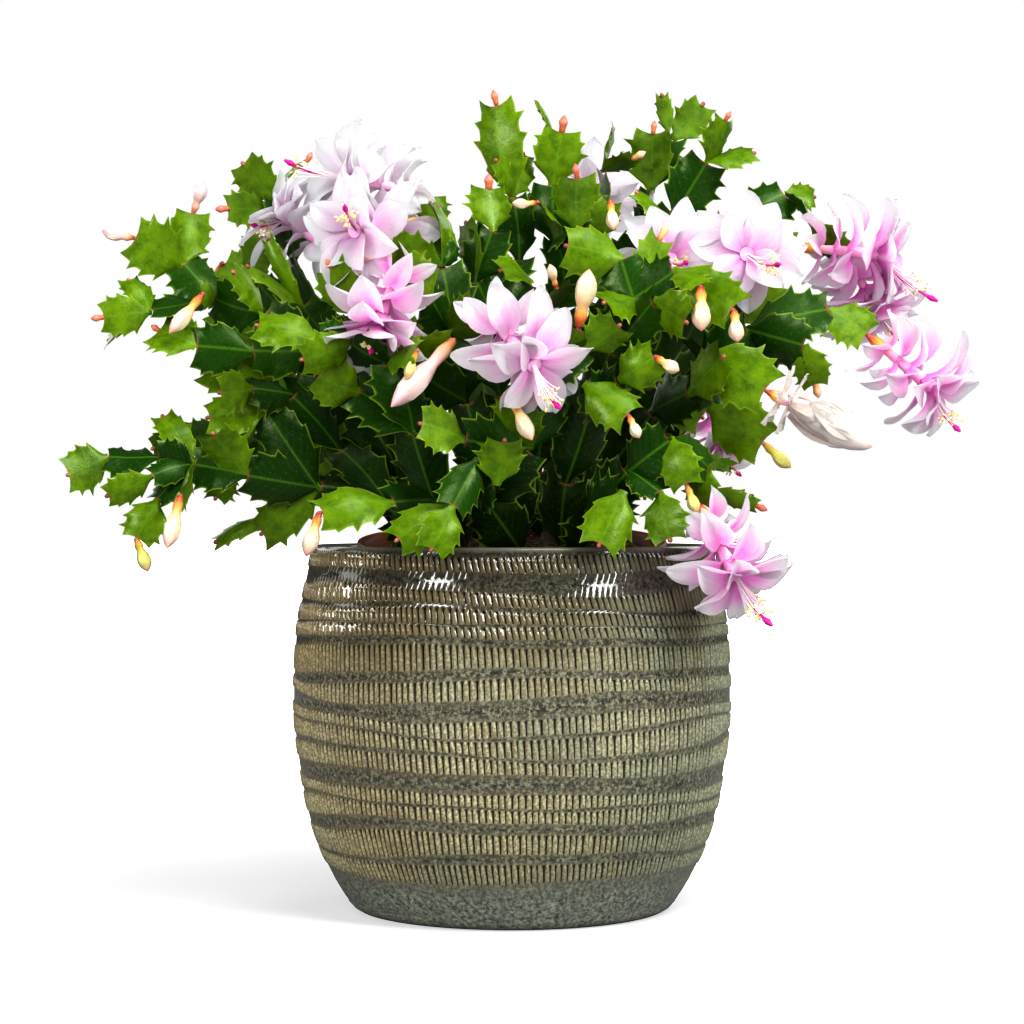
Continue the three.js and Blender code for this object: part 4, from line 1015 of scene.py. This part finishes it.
stalk_bark = mottled_skin("stalk_bark", 240, 4, [
    (0.35, (0.03, 0.03, 0.012)), (0.6, (0.12, 0.11, 0.05))], 0.8, 0.7, (0.6, 0.001))

young_bud, shader, node, link = new_material("young_bud")
place, _, up_bud = surface_of(node)
peachy, woolly, _ = tint_of(node)
mix = noise(node, place, 300)
along = stir(node, up_bud, mix, 0.3)
rosy = ramp(node, along, [
    (0.05, (0.30, 0.14, 0.02)), (0.3, (0.62, 0.16, 0.05)), (0.7, (0.74, 0.24, 0.17)),
    (1, (0.60, 0.10, 0.12))])
peach = ramp(node, along, [(0.05, (0.40, 0.22, 0.04)), (0.4, (0.80, 0.42, 0.20)), (1, (0.86, 0.55, 0.42))])
wool = ramp(node, mix, [(0.4, (0.16, 0.06, 0.025)), (0.6, (0.42, 0.16, 0.09))])
link(blend(node, woolly, blend(node, peachy, rosy, peach), wool), shader.inputs["Base Color"])
shader.inputs["Roughness"].default_value = 0.45

# Small buds that sit in the tip of a shoot: length, radius, 1 for a peach one
SMALL_BUDS = {
    ("top_mid", 3): (6, 1.7, 0), ("top_near", 1): (7, 2.1, 0), ("top_far", 1): (5, 1.5, 0),
    ("top_far", 3): (4, 1.4, 0), ("left_high", 5): (5, 1.6, 0), ("left_high", 9): (4, 1.5, 0),
    ("left_back", 6): (6, 1.8, 0), ("left_back", 5): (5, 1.5, 0), ("top_near", 3): (6, 1.7, 0),
    ("top_near", 6): (6, 1.9, 1), ("top_mid", 2): (6, 2.2, 0), ("centre_right", 7): (8, 2.0, 1),
    ("front_mid", 7): (8, 3.3, 1), ("right_mid", 6): (6, 1.9, 1), ("right_low", 5): (5, 1.6, 0),
    ("front_left", 3): (5, 1.6, 0), ("back_right", 2): (6, 1.8, 0), ("back_middle", 6): (6, 1.9, 1),
    ("back_high_left", 6): (5, 1.6, 0),
}
STALK_RADIUS = 2.7
STALK_BELOW, STALK_ABOVE = -16, 3
# A stem's materials: leaf skin, then stalk bark and young bud
BARK_SLOT, YOUNG_BUD_SLOT = 1, 2
NARROW = 19
# Segments under this height get painted shade: their age value is raised, more so at the back, so they are
# drawn darker as if shaded by the crown
CROWN_FROM = 235

for name, (foot, joints, chains) in plants.items():
    shape = Shape()
    steps = np.linspace(STALK_BELOW, STALK_ABOVE, 12)
    path = foot + np.array([(0.25 * math.sin(d * 0.9), 0.25 * math.cos(d * 0.7) - 0.25, d) for d in steps])
    swell = STALK_RADIUS - 0.03 * (steps - STALK_BELOW) + 0.12 * np.sin(steps * 1.7)
    shape.add(*tube(path, swell, 14), (1, 0, 0), BARK_SLOT)
    for number, chain in enumerate(chains):
        for order, segment in enumerate(chain[1:]):
            carried = segment.carries > 0
            age_and_shade = (0.3 if segment.width < NARROW else 0.45) if carried else 0
            # Painted shade: low segments, and more so those at the back, count as older and so are drawn
            # darker
            low = np.clip((CROWN_FROM - segment.middle[2]) / 70, 0, 1)
            low = low * np.clip(1.35 - segment.middle[1] / -70, 0.2, 1)
            age_and_shade = age_and_shade + 0.35 * low * carried + (0.2 if number == 0 and order < 2 else 0)
            blade(shape, segment, np.clip(age_and_shade, 0, 1), rng)
            if not carried:
                areole = segment.end + segment.along * np.array([-1.4, -0.4, 0.5, 1.0])[:, None]
                shape.add(*tube(areole, [0.5, 1.0, 0.85, 0.2], 7), (0, 1, 0), YOUNG_BUD_SLOT)
        if (name, number) in SMALL_BUDS:
            long, radius, peach = SMALL_BUDS[name, number]
            way = unit(segment.along + segment.up * rng.uniform(0.1, 0.4))
            shares = np.linspace(0, 1, 9)
            swell = np.interp(shares, [0, 0.15, 0.3, 0.6, 0.85, 1], [0.5, 0.75, 0.65, 1, 0.6, 0.06])
            path = segment.end - way + way * (shares * (long + 1))[:, None]
            shape.add(*tube(path, swell * radius, 10), (peach, 0, 0), YOUNG_BUD_SLOT)
    piece = shape.finish(f"stem_{name}", [leaf_skin, stalk_bark, young_bud])
    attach(piece, "root")
    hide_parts(f"leafy_stem_{name}")


# The blooms: a green-orange ovary, a tube that widens to the mouth, tiers of pointed satin petals that
# bend back along it, and out of the mouth a bundle of white stamens with the crimson style in it.
# Tiers: place along the tube, count, degrees from the tube at the root of a petal and at its tip when
# the bloom is shut, the same two when it is open, length, width
PETAL_TIERS = [
    (0.26, 4, 100, 100, 64, 140, 18, 9), (0.42, 4, 80, 90, 46, 130, 23, 11),
    (0.58, 4, 22, 12, 34, 124, 27, 13.5), (0.78, 4, 20, 10, 30, 112, 28, 15),
    (0.93, 4, 14, 6, 34, 100, 26, 15.5), (0.97, 4, 10, 6, 26, 80, 23, 14),
]
# Half of a petal's edge: share of its length, share of its width
PETAL_OUTLINE = np.array([
    (0, 0.15), (0.1, 0.2), (0.2, 0.29), (0.32, 0.41), (0.44, 0.49), (0.56, 0.5), (0.68, 0.44),
    (0.79, 0.335), (0.88, 0.22), (0.95, 0.11), (1.0, 0.015),
])
PETAL_COLUMNS = np.array([-1, -0.72, -0.36, 0, 0.36, 0.72, 1])
PETAL_FACES = lens_faces(len(PETAL_OUTLINE), len(PETAL_COLUMNS))
STAMENS = 24
CALM_PETALS = 7
# A bloom's materials: petal satin, then these
TUBE_SLOT, FILAMENT_SLOT, ANTHER_SLOT, STYLE_SLOT = 1, 2, 3, 4
# How deep the pink of each bloom is, from white to magenta
BLUSH = {
    "low_right": 0.7, "centre": 0.45, "left_front": 0.3, "left_hanging": 0.7, "left_top": 0.08,
    "left_behind": 0.15, "right_near": 0.4, "right_far": 0.75, "right_inner": 0.85, "right_outer": 0.7,
    "half_open": 0.12, "top_behind": 0.25, "middle_behind": 0.4, "back_low": 0.5, "back_centre": 0.4,
    "back_right": 0.6,
}


def petal(shape, root, along, out, first, last, length, width, blush, draw, wild=1.0):
    """Adds one satin petal that bends from the first angle with the tube to the last, cupped and rippled"""
    aside = np.cross(out, along)
    t = PETAL_COLUMNS[None]
    s = PETAL_OUTLINE[:, :1]
    turn = np.radians(first + (last - first) * (1 - (1 - s[:, 0]) ** draw.uniform(1.5, 2.8)))
    ahead = along * np.cos(turn)[:, None] + out * np.sin(turn)[:, None]
    inner = along * np.sin(turn)[:, None] - out * np.cos(turn)[:, None]
    steps = np.diff(s[:, 0], prepend=0)[:, None] * length
    line = root + np.cumsum(ahead * steps, axis=0)
    half = PETAL_OUTLINE[:, 1:] * width * draw.uniform(0.92, 1.08)
    lateral = half * t + draw.uniform(-3.2, 3.2) * wild * s**2
    rise = draw.uniform(-0.1, 0.75) * t**2 * half - draw.uniform(0.3, 0.9) * np.exp(-((t / 0.22) ** 2))
    ripple = draw.uniform(0.5, 1.5) * s * np.abs(t) ** 1.5
    rise = rise + wild * ripple * np.sin(draw.uniform(6, 12) * s + draw.uniform(0, 6) + 1.4 * np.sign(t))
    rise = rise + draw.uniform(-0.35, 0.35) * wild * lateral * s
    body = 0.16 * (1 - t**2) ** 0.5 * np.sin(math.pi * np.clip(s, 0.08, 0.95)) ** 0.5 + 0.02
    centre = line[:, None] + aside * lateral[..., None]
    upper = centre + inner[:, None] * (rise + body)[..., None]
    lower = centre + inner[:, None] * (rise - body)[..., None]
    uv = np.stack(np.broadcast_arrays(t * 0.5 + 0.5, s), -1)
    shape.add(both_sides(upper, lower), PETAL_FACES, both_sides(uv, uv), (blush, draw.uniform(), 0))


def petal_skin(name, pale, deep):
    """Satin petal: pale with a deeper throat, fine lengthwise veins and a faint glow of the light behind"""
    material, shader, node, link = new_material(name)
    place, over, up_petal = surface_of(node)
    blush, chance, _ = tint_of(node)
    strip = node("ShaderNodeCombineXYZ", {
        0: times(node, over, 26), 1: up_petal, 2: times(node, chance, 40)})
    veins = noise(node, strip.outputs[0], 1, 2)
    cloud = noise(node, place, 90)
    middle = less(node, 1, maths(node, "ABSOLUTE", less(node, times(node, over, 2), 1)))
    throat = maths(node, "POWER", less(node, 1, up_petal, clamp=True), 1.3)
    amount = times(node, throat, add(node, 0.55, times(node, middle, 0.75)))
    amount = stir(node, stir(node, amount, cloud, 0.5), veins, 0.4)
    amount = times(node, amount, add(node, 0.2, times(node, blush, 1.5)), clamp=True)
    between = tuple((a + b) / 2 for a, b in zip(pale, deep))
    link(ramp(node, amount, [(0.08, pale), (0.45, between), (0.9, deep)]), shader.inputs["Base Color"])
    shader.inputs["Roughness"].default_value = 0.5
    shader.inputs["Subsurface Weight"].default_value = 0.6
    shader.inputs["Subsurface Radius"].default_value = (1.0, 0.75, 0.9)
    shader.inputs["Subsurface Scale"].default_value = 0.005
    bumps(node, link, shader, veins, 0.35, 0.0006)
    return material


def waxy_skin(name, roughness, scale, detail, much):
    """Waxy skin of a tube or bud, with the place along it made uneven, which its colours follow"""
    material, shader, node, link = new_material(name)
    place, _, far_up = surface_of(node)
    shader.inputs["Roughness"].default_value = roughness
    shader.inputs["Subsurface Weight"].default_value = 0.25
    shader.inputs["Subsurface Scale"].default_value = 0.002
    return material, shader, node, link, stir(node, far_up, noise(node, place, scale, detail), much)


pink_satin = petal_skin("petal_satin", (0.81, 0.79, 0.84), (0.93, 0.20, 0.70))
cream_satin = petal_skin("petal_cream", (0.70, 0.60, 0.56), (0.74, 0.48, 0.42))

flower_tube, shader, node, link, along = waxy_skin("flower_tube", 0.4, 160, 2, 0.12)
link(ramp(node, along, [
    (0.03, (0.42, 0.07, 0.03)), (0.1, (0.75, 0.28, 0.03)), (0.2, (0.85, 0.50, 0.12)),
    (0.28, (0.88, 0.50, 0.45)), (0.4, (0.88, 0.45, 0.68)), (1, (0.88, 0.5, 0.74))]),
    shader.inputs["Base Color"])

filament_white = mottled_skin("filament_white", 200, 3, [
    (0.35, (0.85, 0.72, 0.78)), (0.65, (0.95, 0.9, 0.9))], 0.5)
anther_cream = mottled_skin("anther_cream", 900, 3, [
    (0.35, (0.78, 0.62, 0.24)), (0.65, (0.93, 0.84, 0.5))], 0.8)
style_magenta = mottled_skin("style_magenta", 500, 3, [
    (0.35, (0.50, 0.0, 0.20)), (0.65, (0.72, 0.005, 0.34))], 0.4)


def add_tiers(shape, start, along, up, across, distance, swell, opened, blush):
    """Tiers of petals up the tube of an open bloom, or the three lowest, small, on a half-open one"""
    length = distance[-1]
    size = 1 if opened > 0 else 0.6
    tiers = PETAL_TIERS if opened > 0 else PETAL_TIERS[:3]
    for number, (share, count, shut_root, shut_tip, wide_root, wide_tip, reach, width) in enumerate(tiers):
        for k in range(count):
            angle = 2 * math.pi * (k + 0.5 * (number % 2)) / count + rng.uniform(-0.18, 0.18) + 0.3 * number
            out = up * math.cos(angle) + across * math.sin(angle)
            first = shut_root + (wide_root - shut_root) * opened + rng.uniform(-6, 6) * (opened > 0)
            last = shut_tip + (wide_tip - shut_tip) * opened + rng.uniform(-14, 14) * (opened > 0)
            hold = np.interp(share * length, distance, swell) * 0.8
            petal(shape, start + along * share * length + out * hold, along, out, first, last,
                  reach * size * rng.uniform(0.82, 1.06), width * size, blush, rng)


def add_style_and_stamens(shape, throat, reach, far, across):
    """The crimson style with its stigma, and round it the fan of white filaments with cream anthers"""
    bow = unit(np.cross(reach, across) + 0.001)
    shares = np.linspace(0, 1, 12)
    path = throat + reach * (shares * far)[:, None] + bow * (2.2 * np.sin(math.pi * shares))[:, None]
    width = np.interp(shares, [0, 0.8, 0.86, 0.93, 0.98, 1], [0.55, 0.45, 0.8, 1.5, 1.35, 0.5])
    shape.add(*tube(path, width, 10), slot=STYLE_SLOT)
    one = unit(np.cross(reach, bow))
    shares = np.linspace(0, 1, 6)
    for _ in range(STAMENS):
        spread, turn = rng.uniform(0.6, 4.2), rng.uniform(0, 6.28)
        fan = one * math.cos(turn) + bow * math.sin(turn)
        tall = far * rng.uniform(0.55, 0.84)
        path = throat + reach * (shares * tall)[:, None] + fan * (0.7 + spread * shares**2)[:, None]
        path = path + bow * (1.6 * np.sin(math.pi * shares * 0.7))[:, None]
        shape.add(*tube(path, np.linspace(0.27, 0.17, 6), 4), slot=FILAMENT_SLOT)
        way = unit(fan + reach * rng.uniform(-0.4, 0.8))
        anther = path[-1] + way * np.array([-0.9, -0.5, 0.3, 0.9])[:, None]
        shape.add(*tube(anther, [0.2, 0.5, 0.5, 0.2], 5), slot=ANTHER_SLOT)


def add_folded_core(shape, neck, tip, along, up, inward, blush):
    """The spindle of petals still folded together, with calm petals laid round it"""
    shares = np.linspace(0, 1, 17)
    path = neck + (tip - neck) * shares[:, None] + along * (2.5 * np.sin(math.pi * shares))[:, None]
    swell = np.interp(shares, [0, 0.12, 0.3, 0.55, 0.75, 0.9, 0.97, 1],
                      [2.8, 5.2, 7.0, 7.2, 5.6, 3.4, 1.9, 0.3])
    points, faces, uv = tube(path, swell, 20)
    uv[:, 1] = 0.35 + 0.65 * uv[:, 1]
    shape.add(points, faces, uv, (blush, 0.3, 0))
    way = unit(tip - neck)
    for k in range(CALM_PETALS):
        angle = 2 * math.pi * k / CALM_PETALS
        out = unit(up * math.cos(angle) + inward * math.sin(angle))
        out = unit(out - way * (out @ way))
        petal(shape, neck + way * (1 + 6 * (k % 2)) + out * 5, way, out, 26, -19,
              math.dist(tip, neck) * (0.86 - 0.1 * (k % 2)), 15, blush, rng, 0.15)


for name, (stem, shoot, mouth, stigma, opened) in BLOOMS.items():
    base = plants[stem][1][shoot][-1]
    mouth, stigma = np.array(mouth, float), np.array(stigma, float)
    along = unit(mouth - base)
    length = math.dist(base, mouth) - CLEARANCE
    up = np.array([1.0, 0, 0]) if abs(along[2]) > 0.9 else np.array([0, 0, 1.0])
    up = unit(up - along * (up @ along))
    across = np.cross(along, up)
    start = base + along * CLEARANCE
    shape = Shape()
    distance = np.linspace(0, 1, 15) * length
    swell = np.interp(distance, [0, 1.2, 4, 7, 9.5, 14, length], [1.0, 1.4, 2.6, 2.4, 1.7, 2.0, 3.1])
    shape.add(*tube(start + along * distance[:, None], swell, 14), slot=TUBE_SLOT)
    add_tiers(shape, start, along, up, across, distance, swell, opened, BLUSH[name])
    throat = mouth - along * 2
    reach = stigma - throat
    far = math.sqrt(reach @ reach)
    reach = reach / far
    if opened > 0:
        add_style_and_stamens(shape, throat, reach, far, across)
    else:
        neck = start + along * length * 0.45
        add_folded_core(shape, neck, stigma, along, up, np.cross(reach, up), BLUSH[name])
    satin = pink_satin if opened > 0 else cream_satin
    piece = shape.finish(f"flower_{name}", [
        satin, flower_tube, filament_white, anther_cream, style_magenta])
    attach(piece, "root")
    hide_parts(f"bloom_{name}")


# The buds: folded petals that overlap round a spindle, cream with an orange to pink-red base, some
# still yellow-green.
BUD_GREEN = {
    "low_left_end": 0.8, "low_right": 0.7, "right_down": 0.9, "back_left": 0.2, "front_left_small": 0.6,
}
PINK_BUDS = ("pale_long", "far_left", "left_up")
BUD_SIDES = 15
BUD_FOLDS = 5
bud_skin, shader, node, link, along = waxy_skin("bud_skin", 0.38, 220, 3, 0.2)
greenish, pinkish, _ = tint_of(node)
ripe = ramp(node, along, [
    (0.0, (0.30, 0.03, 0.02)), (0.1, (0.62, 0.14, 0.03)), (0.24, (0.72, 0.36, 0.08)),
    (0.42, (0.74, 0.55, 0.27)), (0.62, (0.75, 0.63, 0.44)), (0.85, (0.75, 0.56, 0.42)),
    (1.0, (0.70, 0.36, 0.28))])
green = ramp(node, along, [
    (0.0, (0.40, 0.20, 0.02)), (0.3, (0.42, 0.40, 0.04)), (0.7, (0.50, 0.52, 0.12)),
    (1.0, (0.55, 0.40, 0.12))])
pink = ramp(node, along, [
    (0.0, (0.46, 0.15, 0.05)), (0.13, (0.72, 0.38, 0.20)), (0.3, (0.76, 0.50, 0.44)),
    (0.7, (0.76, 0.60, 0.56)), (1.0, (0.74, 0.40, 0.45))])
link(blend(node, pinkish, blend(node, greenish, ripe, green), pink), shader.inputs["Base Color"])

for name, (stem, shoot, tip, radius) in BUDS.items():
    base = plants[stem][1][shoot][-1]
    tip = np.array(tip, float)
    along = unit(tip - base)
    length = math.dist(base, tip) - CLEARANCE
    shares = np.linspace(0, 1, 19)
    swell = np.interp(shares, [0, 0.06, 0.16, 0.26, 0.32, 0.48, 0.64, 0.78, 0.9, 0.97, 1],
                      [0.4, 0.42, 0.62, 0.56, 0.5, 0.86, 1.0, 0.9, 0.55, 0.22, 0.05])
    path = base + along * (CLEARANCE + shares * length)[:, None]
    path[:, 2] += -0.05 * length * np.sin(math.pi * shares) * (1 - abs(along[2]))
    points, faces, uv = tube(path, swell * radius, BUD_SIDES)
    ring = np.arange(len(points)) // BUD_SIDES
    turn = 2 * math.pi * (np.arange(len(points)) % BUD_SIDES) / BUD_SIDES
    fold = 0.09 * np.cos(BUD_FOLDS * turn + 3.2 * shares[ring]) * np.clip((shares[ring] - 0.3) * 4, 0, 1)
    points = path[ring] + (points - path[ring]) * (1 + fold)[:, None]
    shape = Shape()
    shape.add(points, faces, uv, (BUD_GREEN.get(name, 0), name in PINK_BUDS, 0))
    piece = shape.finish(f"flower_bud_{name}", [bud_skin])
    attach(piece, "root")
    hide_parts(f"bud_{name}")
